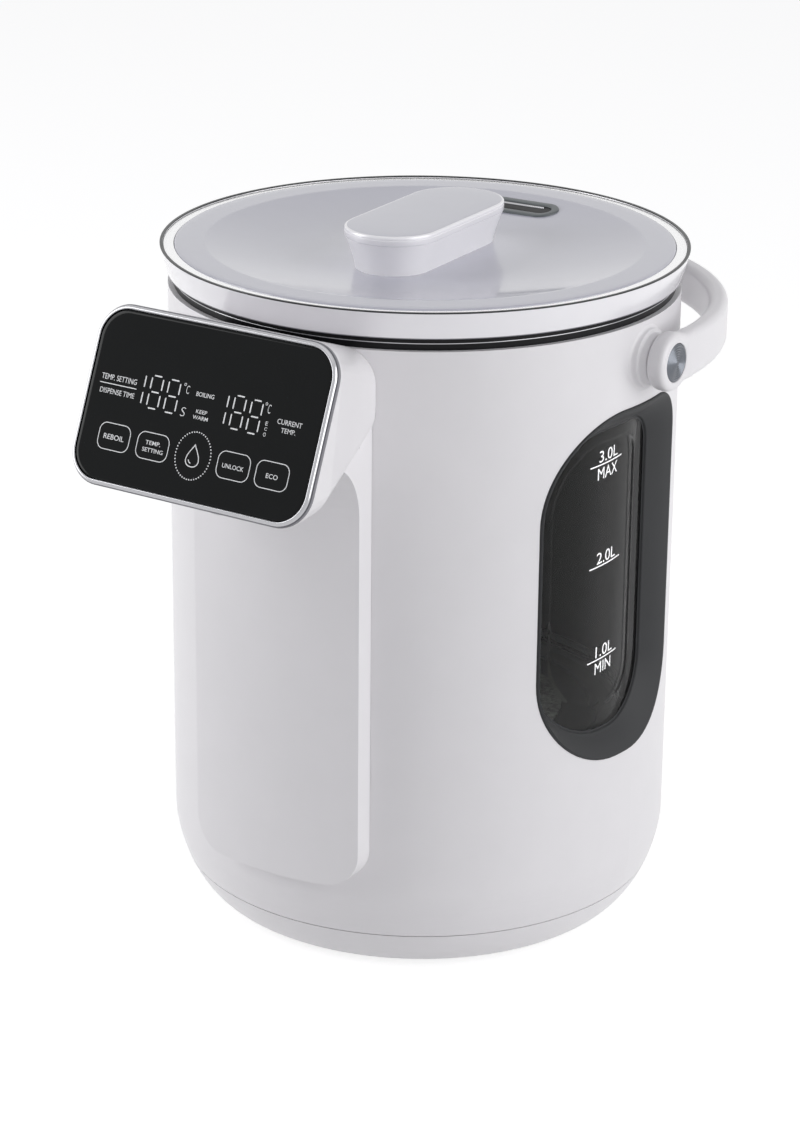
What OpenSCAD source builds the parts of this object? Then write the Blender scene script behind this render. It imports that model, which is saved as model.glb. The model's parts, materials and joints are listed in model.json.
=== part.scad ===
// Electric thermo pot: a round body with a side window, a front dispensing head
// with a touch panel, a lift-off lid and a swinging carry handle.
// Frame: +Z up, origin on the table at the body's axis, the dispensing head towards -Y,
// the window towards +X.

/* [Body] */
// Outer radius of the white body shell
body_r = 105; // [87:0.5:127]
// Height of the shell's top edge above the base's underside
body_h = 267; // [222:1:321]
// Wall of the moulded covers
wall = 2.5; // [1.6:0.1:3.2]
// Width of the rounded lower edge, from the flat underside out to the wall
sole_inset = 19; // [15:0.2:23]
// Height of the rounded lower edge
round_h = 35.8; // [28:0.2:43]
// Fullness of the rounded lower edge, 1 a straight chamfer and 2 a quarter ellipse
round_power = 1.65; // [1.3:0.05:2.2]
// Height of the seam between base cover and shell
seam_h = 17.1; // [14:0.1:21]

/* [Tank] */
// Height of the tank floor above the base's underside
floor_h = 80; // [72:1:96]
// Space between the tank and the shell
jacket_gap = 13; // [12:0.5:16]
// Wall of the glass tank
glass_t = 2.5; // [2:0.1:3]
// Thickness of the heater plate
heater_t = 2.5; // [2:0.1:3]
// Tank rim below the shell's top edge
tank_drop = 4.7; // [4:0.1:6]

/* [Window] */
// Direction of the window, seen from the top and counted from the front
window_az = 83; // [75:0.5:105]
// Half of the window's width, measured straight across
window_half = 42.7; // [35.5:0.1:51.5]
// Bottom of the window above the tank floor
window_rise = 4.4; // [2:0.1:8]
// Top of the window below the shell's top edge
window_drop = 33.7; // [28:0.1:40]
// Radius of the window's lower corner towards the back
low_corner = 35.5; // [30:0.5:36]
// Radius of the window's upper corner towards the back
high_corner = 18; // [15:0.5:22]
// Width of the sloping frame beside the pane, on the side towards the back
frame_side = 14.5; // [12:0.5:17]
// Width of the steep frame beside the pane, on the side towards the front
frame_front = 3.2; // [2.8:0.1:8]
// Width of the sloping frame below the pane
frame_low = 11.3; // [9:0.1:14]
// Width of the sloping frame above the pane
frame_high = 8; // [6.5:0.1:10]
// Thickness of the window pane
pane_t = 1.8; // [1.4:0.1:2.2]

/* [Dispensing head] */
// Width of the panel frame
panel_w = 111.8; // [93:0.1:135]
// Height of the panel frame
panel_h = 70.5; // [62:0.1:84]
// Corner radius of the panel frame
panel_corner = 14; // [10:0.5:17]
// Lean of the panel from upright
panel_tilt = 22.8; // [15:0.1:30]
// Reach of the panel's middle beyond the shell
panel_reach = 47.5; // [42:0.5:57]
// Panel's middle below the shell's top edge
panel_drop = 18.2; // [12:0.1:24]
// Width of the metal rim around the glass
bezel_w = 2; // [1.6:0.1:3]
// Thickness of the panel glass
panel_glass_t = 1.8; // [1.5:0.1:2.4]
// Width of the front column
column_w = 79.6; // [67:0.2:95]
// Depth of the front column beyond the shell
column_depth = 8; // [7:0.5:12]
// Bottom of the front column above the base's underside
column_rise = 43; // [39:0.5:50]
// Reach of the spout's middle beyond the shell
spout_reach = 33; // [28:0.5:38]
// Outer radius of the spout
spout_r = 7; // [6:0.1:8]

/* [Lid] */
// Height of the lid's clear ring
lid_h = 11.3; // [9.4:0.1:13.6]
// Flare of the lid ring beyond the shell, at its top
lid_flare = 3.1; // [2:0.1:4]
// Depth of the dish in the lid panel
dish_depth = 5.4; // [3:0.1:6.4]
// Outer radius of the dish
dish_r = 90; // [78:1:94]
// Depth of the plug that enters the tank
plug_h = 15; // [12:0.5:20]
// Angle at which the lid sits, seen from the top
lid_turn = 3; // [-10:1:10]

/* [Knob] */
// Length of the knob's cap
knob_len = 90; // [72:1:105]
// Width of the knob's cap
knob_w = 40; // [30:0.5:44]
// Height of the knob above the dish
knob_h = 17.5; // [14:0.5:22]
// Thickness of the knob's cap
knob_cap_t = 4.4; // [2.4:0.1:4.5]
// Narrowing of the knob's foot on each side
knob_taper = 4; // [2:0.5:6]

/* [Handle] */
// Pivot below the shell's top edge
pivot_drop = 15.5; // [13:0.5:20]
// Thickness of the handle band
band_t = 8; // [6.6:0.1:9.6]
// Height of the handle band
band_h = 19.6; // [16:0.2:23.5]
// Radius of the handle's eyes
eye_r = 11.8; // [10:0.1:14]
// Straight length of the handle's arms
arm_len = 12; // [8:0.5:15]
// Radius of the pivot screw
pivot_r = 4.5; // [3.6:0.1:5.4]
// Radius of the decorative pivot cap
cap_r = 7.8; // [7:0.1:9.4]

/* [Feet and fasteners] */
// Height of the rubber feet below the base
foot_h = 1.5; // [1:0.1:3]
// Radius of a rubber foot
foot_r = 8; // [6:0.5:10]
// Radius of the casing screws
screw_r = 1.7; // [1.3:0.1:2]

/* [Fits] */
// Clearance of a shaft in its bore
run_fit = 0.05; // [0.02:0.01:0.1]
// Clearance of a piece that is set into another
set_fit = 0.15; // [0.1:0.05:0.3]
// Gap between pieces that move apart
seat_gap = 0.3; // [0.3:0.05:0.6]
// Gap between the lid's rim and the handle band
swing_gap = 2.4; // [2:0.1:4]
// Shadow gap at the seam between base cover and shell
seam_gap = 0.4; // [0.2:0.05:0.8]

/* [Hidden] */

big = 400;           // longer than any cut needs
white = [0.93, 0.93, 0.94];
dark = [0.16, 0.17, 0.18];
steel = [0.72, 0.73, 0.75];

// heights
sole_z = foot_h;
sole_r = body_r - sole_inset;
seam_z = sole_z + seam_h;
body_top = sole_z + body_h;
floor_z = sole_z + floor_h;
inner_z = sole_z + wall;

// the pump stands on the base, as far forward as its bracket allows
motor_r = 13;
bracket_wall = 2;
pump_y = -(sole_r - wall - motor_r - 2 * bracket_wall);

// tank and what surrounds it
shell_in_r = body_r - wall;
tank_out_r = body_r - wall - jacket_gap;
tank_in_r = tank_out_r - glass_t;
tank_top = body_top - tank_drop;
floor_plate_z = floor_z - heater_t - 1.5;
deck_t = 3;
deck_z = floor_plate_z - deck_t;
deck_leg_r = 4;
deck_leg_ring = sole_r - wall - deck_leg_r - 1;
floor_flange_r = tank_out_r + 1.8;
cup_rise = 4;             // rim of the floor plate around the tank's foot
port_clear = 6.2;         // from the heater plate's edge to the outlet's axis
heater_r = -pump_y - port_clear;
element_r = heater_r - 19;
tank_seal_t = 1.3;
glass_z = floor_z + tank_seal_t + 0.2;
liner_t = 1.2;
liner_r = shell_in_r - 8.5;
liner_out_r = liner_r + liner_t;

// window
window_bottom = floor_z + window_rise;
window_top = body_top - window_drop;
window_turn = window_az - 90;
frame_in_r = liner_out_r + set_fit;
pane_in_r = frame_in_r + 0.4;
pane_out_r = pane_in_r + pane_t;
pane_ledge = 2;           // overlap of the pane behind the frame
frame_proud = 0.8;
frame_edge = 0.9;         // flat edge around the sloping sides
front_round = 1;          // straight length between the rounded front side and the middle
frame_out_r = body_r + frame_proud;

// dispensing head and column
column_r = body_r + column_depth;
column_z = sole_z + column_rise;
column_corner = 14;
panel_y = -body_r - panel_reach;
panel_z = body_top - panel_drop;
glass_front = 1;          // glass face, counted like the frame's back from the panel's plane
bezel_back = -1.6;
bezel_bevel = 0.7;        // height of the sloping edge below the glass face
bezel_lip = 0.2;          // inner edge of the rim in front of the glass face
head_top = body_top - 2;
head_low = panel_z - 18.8;
head_corner = 13;
head_root = 12;           // depth of the head's sides behind the shell's front line
rim_depth = 10;
fillet_y = 18;
fillet_z = 25;
under_tilt = 12.5;
spout_y = -body_r - spout_reach;
head_edge_y = panel_y - panel_h / 2 * sin(panel_tilt);
head_edge_z = panel_z - panel_h / 2 * cos(panel_tilt);
under_z = head_edge_z + (spout_y - head_edge_y) * tan(under_tilt);
display_t = 6;
display_back = glass_front - panel_glass_t - display_t;
plug_back = 11.6;         // back of the cable's socket behind the frame's plane
button_pitch = 17.5;
button_row = -14;
under_w = 46;
under_d = 30;
spout_tip = under_z - 16;
spout_top = under_z + 12;
spout_bore = spout_r - 2.5;
spout_flange = spout_r + 3;
under_flange_t = 1.4;
spout_seat = under_z + (wall + under_flange_t) / cos(under_tilt) + spout_flange * tan(under_tilt) + 0.05;

// hoses
hose_r = 4;
hose_bore = 3;
riser_y = -body_r + 2;
hose_bend = 9;
crest_z = spout_top + 7;

// pump
pump_z = 44 + sole_z;
pump_h = 16;
pump_r = 20;
pump_wall = 2.5;
motor_z = 16 + sole_z;
shaft_r = 1.5;
impeller_r = 15.5;
pump_port_z = pump_z + pump_h / 2 + 1;

// lid stack above the shell
collar_lip = 2.6;
collar_r = body_r - 2.2;
gasket_t = 2.1;
gasket_z = body_top + collar_lip + seat_gap;
lid_z = gasket_z + gasket_t;
lid_top = lid_z + lid_h;
ring_t = 1.3;
ring_low_r = body_r + 0.2;
ring_top_r = body_r + lid_flare;
trim_t = 0.5;
body_plate_t = 2.3;
body_edge_r = ring_low_r - ring_t - set_fit;
upstand_t = 1.3;
panel_r = body_edge_r - upstand_t - set_fit;
rim_z = lid_top - trim_t - 0.2;
rim_in_r = ring_top_r - ring_t - set_fit - 0.1;
panel_top = lid_top - 0.2;
panel_t = 2.2;
dish_z = panel_top - dish_depth;
plug_r = tank_in_r - 2.8;
plug_wall = 2.5;
plug_z = lid_z - plug_h;
liner_plate_t = 1.2;
dish_flat_r = knob_len / 2 - knob_taper + 0.7;
dish_power = 1.7;         // 1 a cone with a sharp edge, more a bowl that steepens outwards

// steam vent on the lid
vent_r = dish_r - 14;
vent_half = 10.5;
vent_w = 14.5;
vent_slot_w = 2.2;
vent_rib = 1.1;
vent_chamber_r = plug_r - plug_wall - 6;
vent_seat_z = dish(vent_r - vent_w / 2) - 0.2;

// knob
knob_r = knob_w / 2;
knob_straight = knob_len - knob_w;
knob_top = dish_z + knob_h;
knob_seam_z = knob_top - knob_cap_t;
knob_screw_y = knob_straight / 2;
knob_step = 0.3;          // the foot stands back from the cap's edge

// handle
pivot_z = body_top - pivot_drop;
band_in_r = body_r + lid_flare + swing_gap;
band_out_r = band_in_r + band_t;
eye_in_x = band_in_r + 0.1;
eye_out_x = band_out_r - 0.4;
boss_flange_r = 12;
boss_neck_r = 10.4;
boss_spigot_r = 8;
boss_end_x = eye_in_x - seat_gap;
cap_t = 2.3;
cap_x = eye_out_x - cap_t + 0.8;
screw_head_r = pivot_r + 2.5;
screw_head_t = 2;
counterbore_x = cap_x - screw_head_t - 2 * seat_gap;

// power inlet at the back
inlet_w = 31;
inlet_h = 23;
inlet_z = sole_z + 50;
inlet_body_w = 27;
inlet_body_h = 19;
inlet_depth = 24;
socket_w = 22.5;
socket_h = 14.5;
inlet_face_y = body_r + 1.2;
pin_pitch = 7;
pin_lift = 1.5;
pin_t = 2;
pin_h = 4;
pin_back_y = inlet_face_y - inlet_depth - 3;

// casing screws and posts
post_r = 5;
post_ring = sole_r - 7;
lug_z = seam_z + 5;
lug_t = 4;

// lip of the base cover inside the shell
lip_r = radius_at(seam_z, wall) - set_fit;

// way for hose and cable through the shell into the column
passage_w = 68;
ribbon_x = 27;
ribbon_w = 10;

// board in the base
board_z = inner_z + 8;
board_y = 34;
board_w = 84;
board_d = 54;
board_t = 1.6;
board_face_z = board_z + board_t;
terminal_w = 20;
terminal_h = 10;
terminal_y = board_y + 18.5;
wire_r = 1.4;

// ---- shared shapes ----

module stadium(len, r, facets = 96) {
    for (s = [-1, 1]) translate([0, s * (len / 2 - r)]) circle(r, $fn = facets);
    square([2 * r, len - 2 * r], center = true);
}

module rounded_rect(w, h, r, facets = 64) {
    square([w - 2 * r, h], center = true);
    square([w, h - 2 * r], center = true);
    for (x = [-1, 1], y = [-1, 1])
        translate([x * (w / 2 - r), y * (h / 2 - r)]) circle(r, $fn = facets);
}

module tube(r_out, r_in, h) {
    difference() {
        cylinder(r = r_out, h = h, $fn = 180);
        translate([0, 0, -1]) cylinder(r = r_in, h = h + 2, $fn = 180);
    }
}

module ring(r_in, r_out, z0, z1) {
    rotate_extrude($fn = 180) translate([r_in, z0]) square([r_out - r_in, z1 - z0]);
}

// points of the body's outline from height z0 up, moved inwards by inset
function edge_r(t, inset) =
    sole_r - inset + (body_r - sole_r) * pow(cos(t), 2 / round_power);
function edge_z(t, inset) =
    sole_z + inset + (round_h - inset) * (1 - pow(sin(t), 2 / round_power));
function outline(inset, top) = concat(
    [for (i = [0:16]) let (t = 90 - i * 90 / 16) [edge_r(t, inset), edge_z(t, inset)]],
    [[body_r - inset, top]]);

module body_solid(inset, top) {
    rotate_extrude($fn = 240)
        polygon(concat([[0, sole_z + inset]], outline(inset, top), [[0, top]]));
}

// radius of the body's outline at height z, moved inwards by inset
function radius_at(z, inset) =
    let (u = (z - sole_z - inset) / (round_h - inset))
    sole_r - inset + (body_r - sole_r) * pow(1 - pow(1 - u, round_power), 1 / round_power);

// prism that points outwards from the axis towards the window
module toward_window(from, to) {
    rotate([0, 0, window_turn]) translate([from, 0, 0])
        rotate([90, 0, 90]) linear_extrude(to - from) children();
}

// upright outline, widely rounded towards the front and with its own corners towards the back
module window_shape(front, back, low, high, front_r, low_r, high_r) {
    mid = front_r - front;
    polygon([[-front, low + front_r], [mid, low], [back - low_r, low], [back, low + low_r],
        [back, high - high_r], [back - high_r, high], [mid, high], [-front, high - front_r]]);
    for (z = [low + front_r, high - front_r]) translate([mid, z]) circle(front_r, $fn = 96);
    translate([back - low_r, low + low_r]) circle(low_r, $fn = 96);
    translate([back - high_r, high - high_r]) circle(high_r, $fn = 64);
}

module window_outline(margin) {
    half = window_half + margin;
    window_shape(half, half, window_bottom - margin, window_top + margin,
        half - front_round, low_corner + margin, high_corner + margin);
}

module window_opening(margin) {
    front = window_half - frame_front + margin;
    back = window_half - frame_side + margin;
    window_shape(front, back, window_bottom + frame_low - margin, window_top - frame_high + margin,
        front - 3 * front_round, back - 1.5, high_corner - frame_high / 2 + margin);
}

// thin piece of a cylinder inside an outline
module window_patch(r) {
    intersection() {
        ring(r - 0.1, r, window_bottom, window_top);
        toward_window(0, body_r + 10) children();
    }
}

module at_panel() {
    translate([0, panel_y, panel_z]) rotate([90 - panel_tilt, 0, 0]) children();
}

module at_posts() {
    for (a = [45:90:315]) rotate([0, 0, a]) translate([post_ring, 0, 0]) children();
}

module at_feet() {
    for (a = [0:90:270]) rotate([0, 0, a]) translate([sole_r - foot_r - 3, 0, 0]) children();
}

module at_deck_legs() {
    for (a = [20, 160, 200, 340]) rotate([0, 0, a]) translate([deck_leg_ring, 0, 0]) children();
}

module at_under_cover() {
    translate([0, spout_y, under_z]) rotate([under_tilt, 0, 0]) children();
}

module on_lid() {
    rotate([0, 0, lid_turn]) children();
}

// arc-shaped bar with round ends, concentric with the lid
module lid_arc(r, half, w, z0, z1) {
    rotate([0, 0, 90 - half]) rotate_extrude(angle = 2 * half, $fn = 180)
        translate([r - w / 2, z0]) square([w, z1 - z0]);
    for (s = [-1, 1]) rotate([0, 0, 90 + s * half]) translate([r, 0, z0])
        cylinder(r = w / 2, h = z1 - z0, $fn = 64);
}

// quarter bend of a round hose in the YZ plane, centred on (y, z), from an angle counted from +Y
module hose_bend_at(y, z, turn, from) {
    translate([0, y, z]) rotate([90, 0, 90]) rotate([0, 0, from])
        rotate_extrude(angle = 90, $fn = 96) translate([turn, 0]) children();
}

// ---- casing ----

module shell_cuts() {
    toward_window(body_r - 30, body_r + 20) window_outline(0);
    translate([-passage_w / 2, -body_r - 5, column_z + wall + 0.5])
        cube([passage_w, 30, head_top - column_z - 2 * wall - 8]);
    for (s = [0, 180]) rotate([0, 0, s]) translate([body_r - 15, 0, pivot_z])
        rotate([0, 90, 0]) cylinder(r = boss_spigot_r + set_fit, h = 30, $fn = 96);
    translate([-inlet_body_w / 2 - set_fit, body_r - 15, inlet_z - inlet_body_h / 2 - set_fit])
        cube([inlet_body_w + 2 * set_fit, 30, inlet_body_h + 2 * set_fit]);
}

module outer_shell() {
    color(white) {
        difference() {
            body_solid(0, body_top);
            body_solid(wall, body_top + 1);
            translate([0, 0, -1]) cylinder(r = body_r + 5, h = seam_z + seam_gap + 1, $fn = 96);
            shell_cuts();
        }
        difference() {
            intersection() {
                body_solid(wall / 2, body_top);
                for (a = [45:90:315]) rotate([0, 0, a]) translate([post_ring - 5, -6, lug_z])
                    cube([body_r - post_ring + 5, 12, lug_t]);
            }
            at_posts() translate([0, 0, lug_z - 1]) cylinder(r = screw_r + run_fit, h = lug_t + 2, $fn = 48);
        }
    }
}

module vent_slots() {
    for (i = [-3:3]) translate([i * 7, 40, sole_z - 1]) linear_extrude(wall + 2) stadium(30, 1.3);
}

module base_cover() {
    color(white) difference() {
        union() {
            difference() {
                body_solid(0, body_top);
                body_solid(wall, body_top + 1);
                translate([0, 0, seam_z]) cylinder(r = body_r + 5, h = big, $fn = 96);
            }
            // lip that locates the shell
            ring(lip_r - 2, lip_r, seam_z - 4, seam_z + 4);
            at_posts() translate([0, 0, sole_z]) cylinder(r = post_r, h = lug_z - sole_z, $fn = 48);
            for (x = [-1, 1], y = [-1, 1])
                translate([x * (board_w / 2 - 5), board_y + y * (board_d / 2 - 5), sole_z])
                    cylinder(r = 3, h = board_z - sole_z, $fn = 32);
        }
        at_posts() translate([0, 0, sole_z - 1]) {
            cylinder(r = screw_r + 0.3, h = lug_z, $fn = 48);
            cylinder(r = screw_r + 2, h = 9, $fn = 48);
        }
        at_feet() translate([0, 0, sole_z - 1]) cylinder(r = foot_r + set_fit, h = 2, $fn = 64);
        vent_slots();
    }
}
module rubber_feet() {
    color(dark) at_feet() {
        cylinder(r1 = foot_r - 0.8, r2 = foot_r, h = 0.8, $fn = 64);
        translate([0, 0, 0.8]) cylinder(r = foot_r, h = sole_z + 1 - 0.8, $fn = 64);
    }
}

module base_screws() {
    color(steel) at_posts() difference() {
        union() {
            translate([0, 0, sole_z + 5.5]) cylinder(r = screw_r + 1.5, h = 2.5, $fn = 48);
            translate([0, 0, sole_z + 5.5]) cylinder(r = screw_r, h = lug_z + lug_t - sole_z - 5, $fn = 48);
        }
        translate([-0.4, -2, sole_z + 5]) cube([0.8, 4, 1.6]);
        translate([-2, -0.4, sole_z + 5]) cube([4, 0.8, 1.6]);
    }
}

// ---- dispensing head ----

module corner_pegs(w, h, r, t, rows = [-1, 1]) {
    for (x = [-1, 1], y = rows)
        translate([x * (w / 2 - r), y * (h / 2 - r), 0]) cylinder(r = r, h = t, $fn = 32);
}

// hollow head between the panel frame and the shell
module head_hull(inset) {
    w = panel_w - 2 * inset;
    h = panel_h - 2 * inset;
    r = panel_corner - inset;
    hull() {
        at_panel() translate([0, 0, bezel_back - 1]) corner_pegs(w, h, r, 1);
        // deeper rim along the lower edge
        translate([0, rim_depth, 1]) at_panel() translate([0, 0, bezel_back - 1])
            corner_pegs(w, h, r, 1, [-1]);
        translate([0, -body_r + head_root, (head_top + head_low) / 2]) rotate([90, 0, 0])
            corner_pegs(column_w - 2 * inset, head_top - head_low - 2 * inset,
                head_corner - inset, head_root + 2);
    }
}

module column_prism(inset, z_top) {
    len = z_top - column_z - inset;
    translate([0, 0, column_z + inset + len / 2]) rotate([90, 0, 0])
        linear_extrude(body_r + 40) rounded_rect(column_w - 2 * inset, len, column_corner - inset);
}

module front_housing() {
    mid = (head_top + head_low) / 2;
    color(white) difference() {
        union() {
            head_hull(0);
            intersection() {
                cylinder(r = column_r, h = big, $fn = 240);
                column_prism(0, mid + column_corner);
            }
            // swept fillet between the column and the head's underside
            intersection() {
                rotate_extrude($fn = 240) polygon(concat(
                    [[column_r - 2, head_low]],
                    [for (i = [0:10]) let (t = i * 9)
                        [column_r + fillet_y * (1 - cos(t)), head_low - 4 - fillet_z * (1 - sin(t))]],
                    [[column_r + fillet_y, head_low]]));
                translate([-column_w / 2, -body_r - 60, 0]) cube([column_w, 60, big]);
            }
        }
        cylinder(r = body_r + set_fit, h = big, $fn = 240);
        head_hull(wall);
        at_panel() translate([0, 0, bezel_back - 3]) linear_extrude(20)
            rounded_rect(panel_w - 2 * wall, panel_h - 2 * wall, panel_corner - wall, 32);
        intersection() {
            cylinder(r = column_r - wall, h = big, $fn = 240);
            column_prism(wall, mid + column_corner - wall);
        }
        at_under_cover() translate([0, 0, -4]) linear_extrude(14)
            rounded_rect(under_w + 2 * set_fit, under_d + 2 * set_fit, 6);
    }
}

module head_under_cover() {
    color([0.88, 0.88, 0.89]) difference() {
        union() {
            at_under_cover() linear_extrude(wall) rounded_rect(under_w, under_d, 6);
            at_under_cover() translate([0, 0, wall]) linear_extrude(under_flange_t)
                rounded_rect(under_w + 6, under_d + 4, 8);
        }
        translate([0, spout_y, spout_tip - 1]) cylinder(r = spout_r + set_fit, h = 60, $fn = 64);
        for (s = [-1, 1]) at_under_cover() translate([s * 17, 0, -1])
            cylinder(r = screw_r + set_fit, h = 8, $fn = 32);
    }
}

module under_cover_screws() {
    color(steel) for (s = [-1, 1]) at_under_cover() translate([s * 17, 0, -0.8]) {
        cylinder(r = screw_r + 1.2, h = 0.8, $fn = 32);
        cylinder(r = screw_r, h = 8, $fn = 32);
    }
}

module panel_bezel() {
    slope = bezel_w * 0.45;
    color(steel) at_panel() difference() {
        union() {
            translate([0, 0, bezel_back]) linear_extrude(glass_front - bezel_bevel - bezel_back)
                rounded_rect(panel_w, panel_h, panel_corner);
            translate([0, 0, glass_front - bezel_bevel]) linear_extrude(bezel_bevel + bezel_lip)
                rounded_rect(panel_w - 2 * slope, panel_h - 2 * slope, panel_corner - slope);
        }
        translate([0, 0, glass_front - panel_glass_t]) linear_extrude(20)
            rounded_rect(panel_w - 2 * bezel_w, panel_h - 2 * bezel_w, panel_corner - bezel_w);
        translate([0, 0, bezel_back - 1]) linear_extrude(20)
            rounded_rect(panel_w - 2 * bezel_w - 5, panel_h - 2 * bezel_w - 5, panel_corner - bezel_w - 2.5);
    }
}

module panel_glass() {
    color([0.05, 0.06, 0.06]) at_panel() translate([0, 0, glass_front - panel_glass_t])
        linear_extrude(panel_glass_t)
            rounded_rect(panel_w - 2 * (bezel_w + set_fit), panel_h - 2 * (bezel_w + set_fit),
                panel_corner - bezel_w - set_fit);
}

module display_module() {
    color([0.2, 0.22, 0.2]) at_panel() translate([0, 9, display_back])
        linear_extrude(display_t) square([82, 26], center = true);
}

module control_board() {
    color([0.1, 0.35, 0.2]) at_panel() {
        translate([0, 0, display_back - board_t]) linear_extrude(board_t)
            square([panel_w - 2 * bezel_w - 14, panel_h - 2 * bezel_w - 18], center = true);
        translate([-30, 6, display_back - board_t - 2.4]) cube([12, 12, 2.4]);
        // socket of the flat cable
        translate([ribbon_x - 6, -8, -plug_back]) cube([12, 6, plug_back + display_back - board_t]);
        // corner posts that carry the board on the glass
        for (x = [-1, 1], y = [-1, 1])
            translate([x * (panel_w / 2 - bezel_w - 9.5), y * (panel_h / 2 - bezel_w - 11.5), display_back])
                cylinder(r = 2.2, h = display_t, $fn = 32);
    }
}

module touch_springs() {
    color(steel) at_panel() for (i = [-2:2])
        translate([i * button_pitch, button_row, display_back]) tube(4, 3.2, display_t);
}

// flat cable from the panel's board down the column to the power board
module ribbon_cable() {
    riser = -liner_out_r - 1.5;
    end_y = board_y - board_d / 2 + 2;
    low = sole_z + 39;
    top = panel_z - 8.6;
    start_y = panel_y + (plug_back - (panel_z - top) * sin(panel_tilt)) / cos(panel_tilt) + seat_gap;
    color([0.7, 0.7, 0.72]) translate([ribbon_x - ribbon_w / 2, 0, 0]) {
        translate([0, riser - 0.5, low]) cube([ribbon_w, 1, top - low]);
        translate([0, start_y, top - 1]) cube([ribbon_w, riser - start_y + 0.5, 1]);
        translate([0, riser - 0.5, low]) cube([ribbon_w, end_y - riser + 1.5, 1]);
        translate([0, end_y, board_face_z]) cube([ribbon_w, 1, low - board_face_z + 1]);
    }
}

module spout_nozzle() {
    color([0.85, 0.85, 0.86]) translate([0, spout_y, 0]) difference() {
        union() {
            translate([0, 0, spout_tip]) cylinder(r = spout_r, h = spout_top - spout_tip, $fn = 96);
            translate([0, 0, spout_seat]) cylinder(r = spout_flange, h = 2, $fn = 96);
        }
        translate([0, 0, spout_tip - 1]) cylinder(r = spout_bore, h = under_z - spout_tip + 1, $fn = 64);
        translate([0, 0, spout_tip]) cylinder(r = hose_bore, h = spout_top - spout_tip, $fn = 64);
        translate([0, 0, spout_top - 8]) cylinder(r = hose_r + set_fit, h = 9, $fn = 64);
    }
}

// ---- water path ----

module hose_section() {
    difference() {
        circle(hose_r, $fn = 48);
        circle(hose_bore, $fn = 48);
    }
}

// up the column from the pump, over the crest and down into the nozzle
module outlet_tube() {
    start_y = pump_y - pump_r - 2.5;
    low_len = start_y - (riser_y + hose_bend);
    rise_z = pump_port_z + hose_bend;
    bend_z = crest_z - hose_bend;
    end_z = spout_top - 7.5;
    color([0.85, 0.87, 0.88]) {
        translate([0, start_y, pump_port_z]) rotate([90, 0, 0]) linear_extrude(low_len) hose_section();
        hose_bend_at(riser_y + hose_bend, rise_z, hose_bend, 180) hose_section();
        translate([0, riser_y, rise_z]) linear_extrude(bend_z - rise_z) hose_section();
        hose_bend_at(riser_y - hose_bend, bend_z, hose_bend, 0) hose_section();
        translate([0, riser_y - hose_bend, crest_z]) rotate([90, 0, 0])
            linear_extrude(riser_y - spout_y - 2 * hose_bend) hose_section();
        hose_bend_at(spout_y + hose_bend, bend_z, hose_bend, 90) hose_section();
        translate([0, spout_y, end_z]) linear_extrude(bend_z - end_z) hose_section();
    }
}

module pump_housing() {
    color([0.3, 0.31, 0.33]) translate([0, pump_y, 0]) difference() {
        union() {
            translate([0, 0, pump_z]) cylinder(r = pump_r, h = pump_h, $fn = 96);
            translate([0, 0, pump_z + pump_h]) cylinder(r = hose_r, h = 6, $fn = 48);
            translate([0, 0, pump_port_z]) rotate([90, 0, 0])
                cylinder(r = hose_r, h = pump_r + 2.5, $fn = 48);
        }
        translate([0, 0, pump_z + pump_wall])
            cylinder(r = pump_r - pump_wall, h = pump_h - 2 * pump_wall, $fn = 96);
        translate([0, 0, pump_z - 1]) cylinder(r = shaft_r + 1, h = pump_wall + 2, $fn = 48);
        translate([0, 0, pump_z + pump_h - pump_wall - 1]) cylinder(r = hose_bore, h = 20, $fn = 48);
        translate([0, -pump_r + pump_wall + 1, pump_port_z]) rotate([90, 0, 0])
            cylinder(r = hose_bore, h = 20, $fn = 48);
    }
}

module pump_motor() {
    color(steel) translate([0, pump_y, 0]) difference() {
        translate([0, 0, motor_z]) cylinder(r = motor_r, h = pump_z - motor_z, $fn = 96);
        translate([0, 0, motor_z + 5]) cylinder(r = shaft_r + run_fit, h = pump_z - motor_z, $fn = 48);
    }
}

module pump_rotor() {
    disc_z = pump_z + pump_wall + 1.5;
    color([0.9, 0.9, 0.88]) translate([0, pump_y, 0]) {
        translate([0, 0, motor_z + 6]) cylinder(r = shaft_r, h = disc_z - motor_z - 5, $fn = 48);
        translate([0, 0, disc_z]) cylinder(r = impeller_r, h = 1.6, $fn = 96);
        translate([0, 0, disc_z]) cylinder(r = 4, h = 6, $fn = 48);
        for (a = [0:60:300]) rotate([0, 0, a]) translate([3, -0.7, disc_z])
            cube([impeller_r - 4, 1.4, 5.5]);
    }
}

module pump_bracket() {
    color(dark) translate([0, pump_y, 0]) difference() {
        union() {
            translate([0, 0, inner_z]) cylinder(r = motor_r + bracket_wall, h = motor_z - inner_z, $fn = 96);
            translate([0, 0, motor_z]) cylinder(r = motor_r + bracket_wall, h = 6, $fn = 96);
        }
        translate([0, 0, motor_z]) cylinder(r = motor_r + set_fit, h = 10, $fn = 96);
        translate([0, 0, inner_z - 1]) cylinder(r = motor_r - 2, h = motor_z - inner_z + 2, $fn = 96);
    }
}

module inlet_hose() {
    low = pump_z + pump_h;
    color([0.85, 0.87, 0.88]) translate([0, pump_y, low])
        tube(hose_r + 2, hose_r + run_fit, floor_plate_z - low);
}

// ---- tank ----

module inner_tank() {
    color([0.75, 0.8, 0.82, 0.35]) ring(tank_in_r, tank_out_r, glass_z, tank_top);
}

module tank_seal() {
    color(dark) ring(tank_in_r - 0.4, tank_out_r, glass_z - tank_seal_t, glass_z);
}

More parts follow.
